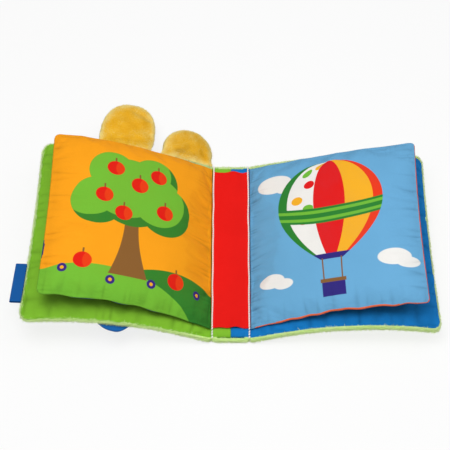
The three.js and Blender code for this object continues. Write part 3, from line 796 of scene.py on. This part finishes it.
def buildLeaf(name):
    # n over (s, y): a quarter-round seam, a broad crown and edges that wave; once the cloth has filled out,
    # creases square to the seams are pressed in
    cut, look = leafCut, leafLooks[name]
    panel, seed = Panel(cut, look), look["seed"]
    across, along = cut["steps"]
    s = -cut["tongue"] + (cut["width"] + cut["tongue"]) * crowded(across)
    s, v = gridOf(s, spread(along, cut["crowding"]))
    y = v * panel.halfHeight(s)
    sideGap, endGap, rootGap = panel.halfHeight(s) - np.abs(y), cut["width"] - s, s + cut["tongue"]
    outerGap = np.minimum(sideGap, endGap)
    body = rounded(np.minimum(outerGap, rootGap), cut["seamRadius"])
    crown = panel.crown(s, y, cut["crownPower"])
    free = np.clip(s / cut["stillReach"], 0, 1) * np.where(v > 0, cut["topCalm"], 1)
    run = s + book["farRun"] * (v > 0)
    waves = ripple(run, cut["swayPitch"], seed) + cut["fineShare"] * ripple(run, cut["finePitch"], seed + 1)
    sway = cut["sway"] * free * near(sideGap, cut["swayReach"]) * waves
    sway += cut["sway"] * near(endGap, cut["endReach"]) * ripple(y, cut["endWave"], seed + 2)
    scallop = ripple(run, cut["scallopPitch"], seed + 3)
    y = y + np.sign(v) * cut["scallop"] * free * near(sideGap, cut["scallopReach"]) * scallop
    sag = cut["sag"] * lumps(s, y, cut["sagSize"], seed + 4) * crown
    upper = sway + sag + cut["seam"][0] * body + cut["crown"][0] * crown
    lower = sway - cut["seam"][1] * body - cut["crown"][1] * crown
    top, bottom = puffUp(panel.place(s, y, upper), panel.place(s, y, lower), cut)

    crease = free * puckers(run, sideGap, cut["edgePitch"], cut["edgeReach"], seed + 5)
    crease += puckers(y, endGap, cut["endPitch"], cut["edgeReach"], seed + 9)
    crease *= cut["edgePucker"]
    pitch, reach = look["rootPitch"], look["rootReach"]
    crease += look["rootPucker"] * puckers(y, rootGap, pitch, reach, seed + 13, cut["rootSharpness"])
    dip = pressIn(crease * body, top, bottom, cut["deepest"])[..., None] * panel.normal(s, y)
    # fold: painted shade, in the creases' valleys and in a band along the padded outer edges, darkening the
    # cloth's colour
    fold = np.clip(crease * body + cut["edgeShade"] * near(outerGap, cut["shadeReach"]), 0, 1)

    rolled = np.zeros(s.shape, bool)  # where the back cloth shows on the front
    if look["piping"]:  # it rolls a little way over the seam at the bottom and the outer edge
        rolled = np.where((v < 0) & (s > cut["pipingStart"]), outerGap, endGap) < look["piping"]
    if look["darkSliver"]:
        middle, half, wide = look["darkSliver"]
        rolled = endGap < wide * (1 - ((y - middle) / half) ** 2)
    onFront = (rolled[:-1, :-1] & rolled[1:, 1:]).ravel()
    faceLook = np.append(onFront, np.ones(onFront.size))
    nodes = [look["body"] + part for part in ("_front", "_wadding", "_back")]
    sewPiece(
        name, top - dip, bottom + cut["backDip"] * dip, joinPoints(s, y), (look["front"], look["back"]),
        (look["body"], look["slot"], nodes, cut["fill"]), faceLook, fold=fold,
    )


for leafName in leafLooks:
    buildLeaf(leafName)
print("leaves made")


# Short pile: leaning three-sided spikes over a surface
tuft = {"tall": (0.6, 1.2), "lean": 0.45, "sink": 0.35, "lowest": 0.03, "sides": 3}
limePile = dict(length=1.7, radius=0.28, through=0.7, slot="lime_plush", look="limePlush")
goldPile = dict(through=0.4, slot="gold_plush", look="goldPlush")
piles = {
    "rim": dict(count=15000, **limePile),
    "spine": dict(count=1800, **limePile),
    "ear": dict(count=16000, length=0.9, radius=0.24, **goldPile),
    "head": dict(count=9000, length=1.2, radius=0.28, **goldPile),
}


def addPile(name, points, faces, weight, pile, body, seed, paintedSheen=0):
    # spikes stand at seeded places on the faces, by area and weight; each leans and differs in length, and
    # is shaded as the surface it stands on, turned up a little, as light comes through pile; the tip mark is
    # painted shade at each spike's foot and a painted highlight at its tip, raised by the painted sheen of
    # each face
    count = pile["count"]
    a, b, c, d = (points[faces[:, k]] for k in range(4))
    normal = np.cross(c - a, d - b)
    area = np.linalg.norm(normal, axis=1) * weight
    rng = np.random.default_rng(seed)
    pick = rng.choice(len(area), count, p=area / area.sum())
    p, q = rng.random((2, count, 1))
    foot = (a[pick] * (1 - p) + b[pick] * p) * (1 - q) + (d[pick] * (1 - p) + c[pick] * p) * q
    normal = unit(normal[pick])
    side = unit(np.cross(normal, rng.normal(size=(count, 3))))
    other = np.cross(normal, side)
    tall = pile["length"] * rng.uniform(*tuft["tall"], (count, 1))
    lean = rng.normal(0, tuft["lean"], (count, 2))
    turns = np.arange(tuft["sides"]) * fullTurn / tuft["sides"]
    ring = np.cos(turns)[None, :, None] * side[:, None] + np.sin(turns)[None, :, None] * other[:, None]
    base = foot[:, None] - tuft["sink"] * normal[:, None] + pile["radius"] * ring
    top = foot + tall * (normal + lean[:, :1] * side + lean[:, 1:] * other)
    spikes = np.concatenate([base, top[:, None]], 1).reshape(-1, 3)
    spikes[:, 2] = np.maximum(spikes[:, 2], tuft["lowest"])
    shape = np.array([[0, 1, 3], [1, 2, 3], [2, 0, 3], [2, 1, 0]])
    corners = (np.arange(count)[:, None, None] * 4 + shape).reshape(-1, 3)
    # painted shade at the foot of each spike, painted highlight at its tip, plus the painted sheen on the ear
    # rims
    tip = np.tile([0.0, 0.0, 0.0, 1.0], count) + np.repeat(np.broadcast_to(paintedSheen, len(faces))[pick], 4)
    piece = putMesh(name, spikes, corners, spikes[:, :2], (pile["look"],), tip=tip)
    shade = unit(normal + np.array([0, 0, pile["through"]]))
    piece.data.normals_split_custom_set_from_vertices(np.repeat(shade, 4, axis=0).tolist())
    finishPiece(piece, body, pile["slot"])


# Covers: a lining over wadding that rolls over the seam, with the outer plush below it
coverCut = {
    "width": 145.0, "height": 160.0, "root": 3.7, "raised": 0.0, "tongue": 1.3, "crown": 1.0,
    "steps": (111, 161), "pastSteps": 6, "crowding": 0.3, "overhang": 1.4, "rootReach": 25.0,
    "liningTop": 1.4, "seamLevel": -0.7, "liningThick": 0.3, "edgeRadius": 5.0, "liningFill": 0.5,
    "loose": 26.0, "pressure": 3.0, "spare": 0.03, "cap": 1.4,
    "pucker": 1.2, "mostPucker": 1.2, "sidePitch": 12.0, "endPitch": 13.0, "endSharpness": 3.0,
    "puckerReach": 11.0, "deepest": 0.6,
    "plushSteps": (70, 84), "rollLevel": -1.9, "rollHeight": 1.1, "underRadius": 7.0, "plushFill": 0.6,
    "sway": 0.15, "swaySize": 13.0, "lowest": 0.02,
}
coverLooks = {
    "frontCover": dict(
        side=-1, slant=2.6, middle=30.0, edge=37.0, below=3.0, corner=6.0, inset=(0.0, 0.4), rootInset=1.7,
        pileFrom=(0.6, 0.6), lining="greenCloth", slot="green_cotton", seed=41, body="front_cover",
    ),
    "backCover": dict(
        side=1, slant=1.0, middle=22.0, edge=21.0, below=None, corner=4.5, inset=(0.2, 2.0), rootInset=0.0,
        pileFrom=(1.0, 0.02), lining="blueCloth", slot="blue_cotton", seed=57, body="back_cover",
    ),
}
panels = {name: Panel(coverCut, look) for name, look in coverLooks.items()}
frontPanel = panels["frontCover"]


def edgePlace(panel, column, row):
    # a grid place carried outwards square to the outline where it lies past it, and how far past it lies
    s = np.minimum(column, panel.width)
    y = np.minimum(1, np.abs(row)) * panel.halfHeight(s)
    pastEnd = column - s
    pastSide = np.maximum(0, np.abs(row) - 1)
    out = np.maximum(pastEnd, pastSide)
    straight = panel.width - panel.corner
    turned = np.arcsin(np.clip((s - straight) / panel.corner, 0, 1)) / 2
    endwise = np.where(np.abs(row) < 1, quarterTurn, 3 * math.pi / 8)
    share = np.where(out > 0, pastEnd / np.maximum(pastEnd + pastSide, tiny), 0)
    turn = turned + (endwise - turned) * share
    return s + out * np.sin(turn), np.sign(row) * (y + out * np.cos(turn)), out


def coverGrid(panel, across, along, reach):
    # a grid that runs reach past the outline; returns s, y, how far out, and the gaps to the outermost edge
    tongue, pastSteps = coverCut["tongue"], coverCut["pastSteps"]
    past = reach * np.sin(np.linspace(0, quarterTurn, pastSteps + 1)[1:])
    columns = -tongue + (panel.width + tongue) * crowded(across - pastSteps)
    columns = np.concatenate([columns, panel.width + past])
    rows = spread(along - 2 * pastSteps, coverCut["crowding"])
    rows = np.concatenate([-1 - past[::-1], rows, 1 + past])
    s, y, out = edgePlace(panel, *gridOf(columns, rows))
    sideGap = np.maximum(0, panel.halfHeight(np.minimum(s, panel.width)) + reach - np.abs(y))
    endGap = np.maximum(0, panel.width + reach - s)
    gap = np.where(out > 0, reach - out, np.maximum(reach, np.minimum(sideGap, endGap)))
    return s, y, out, gap, sideGap, endGap


def buildCover(name):
    cut, look = coverCut, coverLooks[name]
    body, seed = look["body"], look["seed"]
    # lining: level over the padding, rolling through a quarter ellipse to the seam, creased square to it
    panel = copy.copy(panels[name])
    panel.width -= look["inset"][0]
    panel.height -= 2 * look["inset"][1]
    s, y, _, gap, sideGap, endGap = coverGrid(panel, *cut["steps"], cut["overhang"])
    y = y * (1 - look["rootInset"] * near(s, cut["rootReach"]) / (panel.height / 2))  # narrower at the spine
    rise = rounded(gap, cut["edgeRadius"])
    upper = cut["seamLevel"] + (cut["liningTop"] - cut["seamLevel"]) * rise + cut["crown"] * panel.crown(s, y)
    lower = np.full_like(s, cut["seamLevel"] - cut["liningThick"])
    top, bottom = puffUp(
        panel.place(s, y, upper), panel.place(s, y, lower), cut, heldTop=gap > cut["loose"], heldBottom=True
    )
    run = s + book["farRun"] * (y > 0)
    crease = puckers(run, sideGap, cut["sidePitch"], cut["puckerReach"], seed)
    crease += puckers(y, endGap, cut["endPitch"], cut["puckerReach"], seed + 4, cut["endSharpness"])
    # fold: the creases' depth, pressed into the lining and also painted on it as shade in their valleys
    fold = np.clip(cut["pucker"] * crease * rise, 0, cut["mostPucker"])
    dip = pressIn(fold, top, bottom, cut["deepest"])[..., None] * panel.normal(s, y)
    nodes = (body + "_lining", body + "_padding")
    sewPiece(
        name + "Lining", top - dip, bottom, joinPoints(s, y), (look["lining"],),
        (body, look["slot"], nodes, cut["liningFill"]), fold=fold,
    )

    # plush: half a roll that stands out under the seam, then a quarter circle down to the underside
    panel = panels[name]
    s, y, out, gap, _, _ = coverGrid(panel, *cut["plushSteps"], book["rim"])
    upper = cut["rollLevel"] + cut["rollHeight"] * np.sqrt(np.clip(1 - (out / book["rim"]) ** 2, 0, 1))
    depth = panel.underside(s, y) - book["plush"] - cut["rollLevel"]
    lower = cut["rollLevel"] + depth * rounded(gap, cut["underRadius"])
    sway = cut["sway"] * lumps(s, y, cut["swaySize"], seed + 21) * np.clip(out, 0, 1)
    bottom = panel.place(s, y, lower + sway)
    bottom[..., 2] = np.maximum(bottom[..., 2], cut["lowest"])
    points, faces = sewPiece(
        name + "Plush", panel.place(s, y, upper + sway), bottom, joinPoints(s, y), ("limePlush",),
        (body, "lime_plush", (body + "_plush",), cut["plushFill"]),
    )
    bare = out - np.where(s > panel.width, *look["pileFrom"])  # pile grows where the lining doesn't lie on it
    addPile(name + "Pile", points, faces, perFace(bare) > 0, piles["rim"], body, seed + 31)


for coverName in coverLooks:
    buildCover(coverName)
print("covers made")


# Spine: linings that meet in the middle, plush below, and hinges of cloth between the spine and the covers
spineCut = {
    "half": 14.0, "fill": 0.4, "lowest": 0.02,
    "liningHalf": 79.4, "liningTop": 6.8, "liningFoot": 3.0, "edgeRadius": 5.0, "liningSteps": (18, 140),
    "liningCrowding": 0.3, "pucker": 0.6, "puckerPitch": 6.0, "puckerReach": 8.0, "puckerSeed": 91,
    "plushStart": 79.6, "plushHalf": 81.6, "rollLevel": 1.9, "rollHeight": 1.1, "underRadius": 3.0,
    "plushSteps": (24, 120), "plushCrowding": 0.8, "pileSeed": 97,
}
spineLinings = {
    "spineLiningGreen": dict(
        start=-14.0, end=-0.1, look="greenCloth", slot="green_cotton",
        nodes=("spine_lining_green", "spine_padding"),
    ),
    "spineLiningBlue": dict(
        start=0.1, end=14.0, look="blueCloth", slot="blue_cotton", nodes=("spine_lining_blue",),
    ),
}


def buildSpine():
    cut = spineCut
    across, along = cut["liningSteps"]
    for name, part in spineLinings.items():
        # level, falling at both ends through a quarter ellipse, creased there
        x = part["start"] + (part["end"] - part["start"]) * crowded(across, cut["liningCrowding"])
        x, y = gridOf(x, cut["liningHalf"] * spread(along))
        gap = cut["liningHalf"] - np.abs(y)
        rise = rounded(gap, cut["edgeRadius"])
        z = cut["liningFoot"] + (cut["liningTop"] - cut["liningFoot"]) * rise
        z -= cut["pucker"] * puckers(x, gap, cut["puckerPitch"], cut["puckerReach"], cut["puckerSeed"]) * rise
        sewPiece(
            name, joinPoints(x, y, z), joinPoints(x, y, cut["liningFoot"]), joinPoints(x, y), (part["look"],),
            ("spine", part["slot"], part["nodes"], cut["fill"]),
        )
    # plush: flat underneath, with half a roll at both ends
    across, along = cut["plushSteps"]
    x, y = gridOf(cut["half"] * spread(across), cut["plushHalf"] * spread(along, cut["plushCrowding"]))
    out = np.clip((np.abs(y) - cut["plushStart"]) / (cut["plushHalf"] - cut["plushStart"]), 0, 1)
    z = cut["rollLevel"] + cut["rollHeight"] * np.sqrt(1 - out**2)
    foot = cut["rollLevel"] * (1 - rounded(cut["plushHalf"] - np.abs(y), cut["underRadius"])) + cut["lowest"]
    points, faces = sewPiece(
        "spinePlush", joinPoints(x, y, z), joinPoints(x, y, foot), joinPoints(x, y), ("limePlush",),
        ("spine", "lime_plush", ("spine_plush",), cut["fill"]),
    )
    onRim = np.abs(perFace(y)) > cut["plushStart"]
    addPile("spinePile", points, faces, onRim, piles["spine"], "spine", cut["pileSeed"])


buildSpine()

hingeCut = {
    "start": 10.5, "end": 21.0, "half": 80.6, "ease": 0.2, "stepRun": 3.0, "lowest": 0.03, "fill": 0.4,
    "steps": (26, 110), "crowding": 0.6, "bendFrom": -1.5, "bendTo": 3.5,  # from the spine's edge
}
hinges = {
    "frontHinge": dict(cover="frontCover", look="greenCloth", slot="green_cotton"),
    "backHinge": dict(cover="backCover", look="blueCloth", slot="blue_cotton"),
}


def buildHinge(name):
    # a closed strip: both its faces run in a smooth step from the spine's level to the cover's
    cut, spine, part = hingeCut, spineCut, hinges[name]
    panel = panels[part["cover"]]
    across, along = cut["steps"]
    x = panel.side * np.linspace(cut["start"], cut["end"], across)
    x, y = gridOf(x, cut["half"] * spread(along, cut["crowding"]))
    s = np.abs(x) - abs(panel.rootX)
    over = smoothStep((np.abs(x) - spine["half"]) / cut["stepRun"])
    gap = cut["half"] - np.abs(y)
    coverTop = panel.place(s, y, coverCut["liningTop"] - cut["ease"])[..., 2]
    coverFoot = panel.place(s, y, panel.underside(s, y) - book["plush"])[..., 2]
    upper = (spine["liningTop"] - cut["ease"]) * (1 - over) + coverTop * over
    foot = np.maximum(cut["lowest"], coverFoot * over)
    middle = spine["rollLevel"] * (1 - over) + (panel.frameAt(s)[1] + coverCut["rollLevel"]) * over
    z = middle + (upper - middle) * rounded(gap, spine["edgeRadius"])
    low = middle - (middle - foot) * rounded(gap, spine["underRadius"])
    points, faces, uv, _ = pillow(joinPoints(x, y, z), joinPoints(x, y, low), joinPoints(x, y))
    faceLook = np.ones(len(faces))  # plush, but lining on top between the rims
    faceLook[: len(faces) // 2] = (np.abs(perFace(y)) >= spine["liningHalf"])[: len(faces) // 2]
    piece = putMesh(name, points, faces, uv, (part["look"], "limePlush"), faceLook)
    start, end = (
        (panel.side * (spine["half"] + place) * metre, 0, 0) for place in (cut["bendFrom"], cut["bendTo"])
    )
    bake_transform(piece)


for hingeName in hinges:
    buildHinge(hingeName)
print("spine and hinges made")


# A thin cloth: a grid of middle points thickened to both sides along its own normals
def thinCloth(name, middle, thickness, uv, look, body, slot, node):
    normal = unit(np.cross(np.gradient(middle, axis=0), np.gradient(middle, axis=1)))
    points, faces, places, _ = pillow(middle + normal * thickness / 2, middle - normal * thickness / 2, uv)
    return finishPiece(putMesh(name, points, faces, places, (look,)), body, slot, (node,))


stripCut = {
    "half": 15.2, "halfLength": 73.0, "top": 8.25, "crown": 0.75, "thickness": 1.0, "flat": (30.5, 147.0),
    "steps": (40, 170), "crowding": (0.6, 0.4), "endWave": 0.9, "wavePitch": 15.0, "farRun": 40.0,
    "pucker": 0.4, "puckerPitch": 4.2, "puckerReach": 6.0, "puckerEase": 1.5,
    "endLift": 0.6, "liftReach": 9.0, "seed": 121,
}


def buildStrip():
    # a low arch across, ends that wave, and creases beside both stitch rows
    cut, seed = stripCut, stripCut["seed"]
    across, along = map(spread, cut["steps"], cut["crowding"])
    x, v = gridOf(cut["half"] * across, along)
    y = v * (cut["halfLength"] + cut["endWave"] * ripple(x + cut["farRun"] * (v > 0), cut["wavePitch"], seed))
    gap, endGap = cut["half"] - np.abs(x), (1 - np.abs(v)) * cut["halfLength"]
    z = cut["top"] - cut["thickness"] / 2 + cut["crown"] * (1 - (x / cut["half"]) ** 2)
    crease = puckers(y, gap, cut["puckerPitch"], cut["puckerReach"], seed + 4)
    z -= cut["pucker"] * crease * rounded(gap, cut["puckerEase"])
    z += cut["endLift"] * ripple(x, cut["wavePitch"], seed + 6) * near(endGap, cut["liftReach"])
    strip = thinCloth(
        "spineStrip", joinPoints(x, y, z), cut["thickness"], joinPoints(x, y), "redCloth",
        "spine", "red_cotton", "spine_strip",
    )


buildStrip()

stitchCut = {
    "across": 14.4, "pitch": 2.1, "length": 2.2, "radius": 0.62, "halfRun": 81.0, "slant": 0.3, "sink": 0.35,
    "rings": 9, "sides": 8, "endRadius": 0.04,
    "onLeaf": 8.75, "onLining": 6.95, "leafTop": 76.0, "leafBottom": -72.5, "fallRun": 4.0,
    "endDrop": 1.9, "dropFrom": 77.5, "dropRun": 3.5, "wander": 0.12, "wanderPitch": 30.0, "seed": 131,
}


def buildStitches(name, side, node):
    # each stitch is a small spindle laid along the row with a slight slant, sunk at both ends
    cut = stitchCut
    count = int(2 * cut["halfRun"] / cut["pitch"])
    turn = np.linspace(0, fullTurn, cut["sides"], endpoint=False)
    run = np.linspace(-1, 1, cut["rings"])[:, None]
    thick = cut["radius"] * np.sqrt(np.maximum(0, 1 - run**2)) + cut["endRadius"]
    x, z = thick * np.cos(turn) + cut["slant"] * run, thick * np.sin(turn) - cut["sink"] * run**2
    shape = joinPoints(x, run * cut["length"] / 2, z).reshape(-1, 3)
    row = (np.arange(count) - (count - 1) / 2) * cut["pitch"]
    fall = smoothStep(np.maximum(row - cut["leafTop"], cut["leafBottom"] - row) / cut["fallRun"])
    level = cut["onLeaf"] * (1 - fall) + cut["onLining"] * fall
    level -= cut["endDrop"] * np.clip((np.abs(row) - cut["dropFrom"]) / cut["dropRun"], 0, 1) ** 2
    wander = cut["wander"] * ripple(row, cut["wanderPitch"], cut["seed"] + side)
    places = joinPoints(side * cut["across"] + wander, row, level)
    points = (places[:, None] + shape).reshape(-1, 3)
    grid = np.arange(len(shape)).reshape(cut["rings"], cut["sides"])
    ahead = np.roll(grid, -1, axis=1)
    quads = np.stack([grid[:-1], ahead[:-1], ahead[1:], grid[1:]], -1).reshape(-1, 4)
    capOrder = np.array([[3, 2, 1, 0], [7, 4, 3, 0], [7, 6, 5, 4]])
    one = outward(shape, np.vstack([quads, grid[0][capOrder], grid[-1][capOrder[:, ::-1]]]))
    faces = (np.arange(count)[:, None, None] * len(shape) + one).reshape(-1, 4)
    finishPiece(putMesh(name, points, faces, points[:, :2], ("whiteThread",)), "spine", "thread", (node,))


buildStitches("leftStitches", -1, "left_stitching")
buildStitches("rightStitches", 1, "right_stitching")
print("strip and stitches made")


# Ears: stuffed plush, sewn flat at the root and round at the tip
earCut = {
    "lean": 0.09, "drop": 1.0, "seat": 0.6, "grid": 61, "outline": (30, 90, 40), "middle": 0.42,
    "fullness": 6.2, "roundness": (2.3, 0.55), "flatRun": 8.0, "flattest": 0.55,
    "dent": 0.5, "dentSize": 15.0, "dentPower": 4, "rimSheen": 1.8, "rimPower": 5,
    "pressure": 3.0, "spare": 0.02, "cap": 1.2, "fill": 0.7,
}
earLooks = {
    "leftEar": dict(
        across=78.0, length=46.0, width=45.0, rootShare=0.92, squareness=2.4, widestAt=14.0, body="left_ear",
        seed=141,
    ),
    "rightEar": dict(
        across=23.5, length=30.0, width=43.0, rootShare=1.1, squareness=2.0, widestAt=8.0, body="right_ear",
        seed=147,
    ),
}


def buildEar(name):
    # the outline is read by angle about a point in the ear, and the thickness falls from there to the seam
    cut, look, panel = earCut, earLooks[name], frontPanel
    length, widest, squareness = look["length"], look["widestAt"], look["squareness"]
    lowSteps, tipSteps, rootSteps = cut["outline"]
    tipward = widest + (length - widest) * np.sin(np.linspace(0, quarterTurn, tipSteps)[1:])
    a = np.concatenate([np.linspace(0, widest, lowSteps), tipward])
    grown = look["width"] / 2 * (1 - (1 - look["rootShare"]) * np.clip(1 - a / widest, 0, 1) ** 2)
    tipped = np.clip((a - widest) / (length - widest), 0, 1)
    half = grown * (1 - tipped**squareness) ** (1 / squareness)
    root = np.linspace(-1, 1, rootSteps)[1:-1] * half[0]
    outX = np.concatenate([root, half, -half[::-1]])
    outA = np.concatenate([0 * root, a, a[::-1]])
    middle = cut["middle"] * length
    angle = np.arctan2(outA - middle, outX)
    order = np.argsort(angle)
    radius = np.hypot(outX, outA - middle)[order]
    share, turn = disc(cut["grid"])
    reach = np.interp(turn, angle[order], radius, period=fullTurn)
    along = middle + share * reach * np.sin(turn)
    x = share * reach * np.cos(turn) + cut["lean"] * along
    flat = np.clip(along / cut["flatRun"], cut["flattest"], 1)  # thinner where it is sewn in
    swell = flat * cut["fullness"] * dome(share, *cut["roundness"])
    dent = flat * cut["dent"] * lumps(x, along, cut["dentSize"], look["seed"]) * dome(share, cut["dentPower"])
    _, _, normalX, normalZ = panel.frameAt(look["across"])
    seams = panel.halfHeight(look["across"] + np.array([-half[0], 0, half[0]]))
    foot = panel.place(look["across"], seams.max() + book["rim"] + cut["seat"], -cut["drop"])

    def lift(level):  # across the ear square to its normal, and level along it
        return foot + joinPoints(x * normalZ + level * normalX, along, level * normalZ - x * normalX)

    top, bottom = puffUp(lift(dent + swell), lift(dent - swell), cut)
    # painted sheen: the ear's plush and pile lighter towards its rim, where pile seen edge-on catches light
    rim = cut["rimSheen"] * share ** cut["rimPower"]
    nodes = [look["body"] + part for part in ("_back", "_stuffing", "_front")]
    points, faces = sewPiece(
        name, top, bottom, joinPoints(x, along), ("goldPlush",),
        (look["body"], "gold_plush", nodes, cut["fill"]), tip=rim,
    )
    addPile(name + "Pile", points, faces, 1, piles["ear"], look["body"], look["seed"] + 3, perFace(rim))


for earName in earLooks:
    buildEar(earName)
print("ears made")


# Head on the outside of the front cover, pressed flat on the table
headCut = {
    "across": 62.0, "up": 30.0, "turn": 6.0, "width": 92.0, "height": 90.0, "roundness": (2.4, 0.6),
    "plush": 2.4, "leastPlush": 0.3, "plushPower": 8, "floor": 2.3, "ease": 1.2, "depthLost": 1.7, "gap": 0.6,
    "backDrop": 0.3, "backRound": 0.8, "backPower": 6, "grid": 64, "fill": 0.7,
    "pressed": 0.8, "pressedPile": 0.3, "pileSeed": 163,
}
muzzleCut = {
    "width": 46.0, "height": 34.0, "below": 16.0, "floor": 0.8, "ease": 0.8, "thick": 2.0,
    "roundness": (4, 0.5), "seat": 0.3, "seatFloor": 2.0, "grid": 40, "fill": 0.6,
}
stitchedCut = {"ease": 0.3, "thick": 0.5, "roundness": (3, 0.6), "lowest": 0.04, "grid": 18}
stitchedParts = {
    "leftEye": dict(across=-16.0, up=6.0, width=6.8, height=6.8, floor=2.05, stands=0.0),
    "rightEye": dict(across=16.0, up=6.0, width=6.8, height=6.8, floor=2.05, stands=0.0),
    "nose": dict(across=0.0, up=-8.0, width=12.0, height=8.8, floor=0.55, stands=2.4),
}


def headToCover(across, up):
    # a place on the face, mirrored and turned onto the cover's s and y
    turn = math.radians(headCut["turn"])
    s = headCut["across"] - across * math.cos(turn) - up * math.sin(turn)
    y = headCut["up"] - across * math.sin(turn) + up * math.cos(turn)
    return s, y


def ceiling(s, y):  # how far below the seam line the head starts
    return frontPanel.underside(s, y) - book["plush"] - headCut["gap"]


def headSwell(across, up):
    # how far the stuffing stands below the cover: a flattened dome over the head's oval
    cut = headCut
    share = np.clip(np.hypot(across / (cut["width"] / 2), up / (cut["height"] / 2)), 0, 1)
    _, z, _, normalZ = frontPanel.frameAt(cut["across"])
    depth = z / normalZ + ceiling(cut["across"], cut["up"]) - cut["plush"] - cut["depthLost"]
    return depth * dome(share, *cut["roundness"])


def onFace(across, up, drop, floor, ease=headCut["ease"]):
    # a point below the cover, with a smooth larger-of for its height above the table
    s, y = headToCover(across, up)
    points = frontPanel.place(s, y, ceiling(s, y) - drop)
    low = points[..., 2] - floor
    points[..., 2] = floor + 0.5 * (low + np.sqrt(low * low + ease * ease))
    return points


def buildHead():
    # an oval: the back follows the cover, the face swells below it, and the plush thins towards the seam
    cut = headCut
    share, across, up = oval(cut["grid"], cut["width"], cut["height"])
    s, y = headToCover(across, up)
    drop = cut["backDrop"] + cut["backRound"] * share ** cut["backPower"]
    back = frontPanel.place(s, y, ceiling(s, y) - drop)
    plush = cut["plush"] * np.maximum(dome(share, cut["plushPower"]), cut["leastPlush"])
    face = onFace(across, up, headSwell(across, up) + plush, cut["floor"])
    points, faces = sewPiece(
        "head", back, face, joinPoints(across, up), ("goldPlush",),
        ("front_cover", "gold_plush", ("head_plush", "head_stuffing"), cut["fill"]),
    )
    stands = points[faces].mean(1)[:, 2] > cut["floor"] + cut["pressed"]  # worn where it is pressed
    thin = np.where(stands, 1.0, cut["pressedPile"])
    addPile("headPile", points, faces, thin, piles["head"], "front_cover", cut["pileSeed"])


def buildFace():
    # muzzle: a low cushion
    cut = muzzleCut
    share, across, up = oval(cut["grid"], cut["width"], cut["height"])
    up = up - cut["below"]
    swell = headSwell(across, up) + headCut["plush"] + cut["seat"]
    top = onFace(across, up, swell, cut["seatFloor"])
    low = onFace(across, up, swell + cut["thick"] * dome(share, *cut["roundness"]), cut["floor"], cut["ease"])
    sewPiece(
        "muzzlePatch", top, low, joinPoints(across, up), ("creamPlush",),
        ("front_cover", "cream_plush", ("muzzle",), cut["fill"]),
    )
    # eyes and nose: satin-stitched domes
    cut = stitchedCut
    for name, part in stitchedParts.items():
        share, across, up = oval(cut["grid"], part["width"], part["height"])
        across, up = across + part["across"], up + part["up"]
        swell = headSwell(across, up) + headCut["plush"] + part["stands"]
        base = onFace(across, up, swell, part["floor"], cut["ease"])
        low = base.copy()
        low[..., 2] = np.maximum(cut["lowest"], low[..., 2] - cut["thick"] * dome(share, *cut["roundness"]))
        sewPiece(name, base, low, joinPoints(across, up), ("darkThread",), ("front_cover", "thread"))


buildHead()
buildFace()
print("head made")

# Kerchief: a rounded corner of cloth from the chin down past the cover's bottom edge
kerchiefCut = {
    "width": 84.0, "tip": 116.0, "bluntness": (2.8, 1.8), "thickness": 1.1, "hem": 2.0, "collar": 1.2,
    "flat": (84.0, 95.0), "flatArea": 4050.0, "steps": (71, 56), "crowding": 0.4, "drop": 0.5,
    "fold": 0.35, "foldPitch": 17.0, "foldFan": (0.6, 0.4), "seed": 171,
}


def buildKerchief():
    # rows run from the chin's curve to the hem, with folds that fan out from the chin
    cut = kerchiefCut
    columns, rows = cut["steps"]
    u = np.sin(quarterTurn * np.linspace(-1, 1, columns))
    u, v = gridOf(u, crowded(rows, cut["crowding"]))
    across = u * cut["width"] / 2

    def chin(x):
        share = x / (headCut["width"] / 2 + cut["collar"])
        return -(headCut["height"] / 2 + cut["collar"]) * np.sqrt(1 - share**2)

    shoulder = chin(cut["width"] / 2) - cut["hem"]
    hem = -cut["tip"] + (shoulder + cut["tip"]) * np.abs(u) ** np.where(u < 0, *cut["bluntness"])
    up = chin(across) + (hem - chin(across)) * v
    s, y = headToCover(across, up)
    fan = cut["foldFan"][0] + cut["foldFan"][1] * v
    fold = cut["fold"] * ripple(across / fan, cut["foldPitch"], cut["seed"]) * np.sin(math.pi * v)
    middle = frontPanel.place(s, y, ceiling(s, y) - cut["thickness"] / 2 - cut["drop"] + fold)
    cloth = thinCloth(
        "neckKerchief", middle, cut["thickness"], joinPoints(across, up), "kerchiefCloth",
        "front_cover", "kerchief_blue", "kerchief",
    )


buildKerchief()

labelCut = {
    "width": 33.0, "length": 9.0, "thick": 2.4, "ribbon": 0.7, "at": -50.0, "seat": 0.3, "tilt": 0.057,
    "bow": 0.35, "steps": (60, 40), "crowding": 0.4,
}


def buildLabel():
    # one ribbon, out along the lower side, round the fold and back along the upper side
    cut, panel = labelCut, frontPanel
    level = (cut["thick"] - cut["ribbon"]) / 2
    straight = cut["length"] - cut["thick"] / 2
    total = 2 * straight + math.pi * level
    runSteps, sideSteps = cut["steps"]
    run = np.linspace(0, total, runSteps)[:, None]
    turn = np.clip((run - straight) / level, 0, math.pi)
    out = np.where(run < straight, run, np.where(run > total - straight, total - run, straight))
    out = out + level * np.sin(turn)
    y = cut["width"] * (crowded(sideSteps, cut["crowding"]) - 0.5)
    bow = cut["bow"] * (1 - (2 * y / cut["width"]) ** 2) * out / cut["length"]
    edge = panel.width + book["rim"] + cut["seat"]
    middle = panel.place(edge + out, cut["at"] + y + cut["tilt"] * out, bow - level * np.cos(turn))
    label = thinCloth(
        "sideLabel", middle, cut["ribbon"], joinPoints(run, y), "labelRibbon",
        "side_label", "label_ribbon", "side_label",
    )
    cut["width"] * metre
    total * metre


buildLabel()
print("kerchief and label made")

for nodeName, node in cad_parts.items():
    if nodeName.startswith("rattle"):
        node.data.materials.clear()
        node.data.materials.append(looks["beadPlastic" if "bead" in nodeName else "rattlePlastic"])
print("rattle finished")
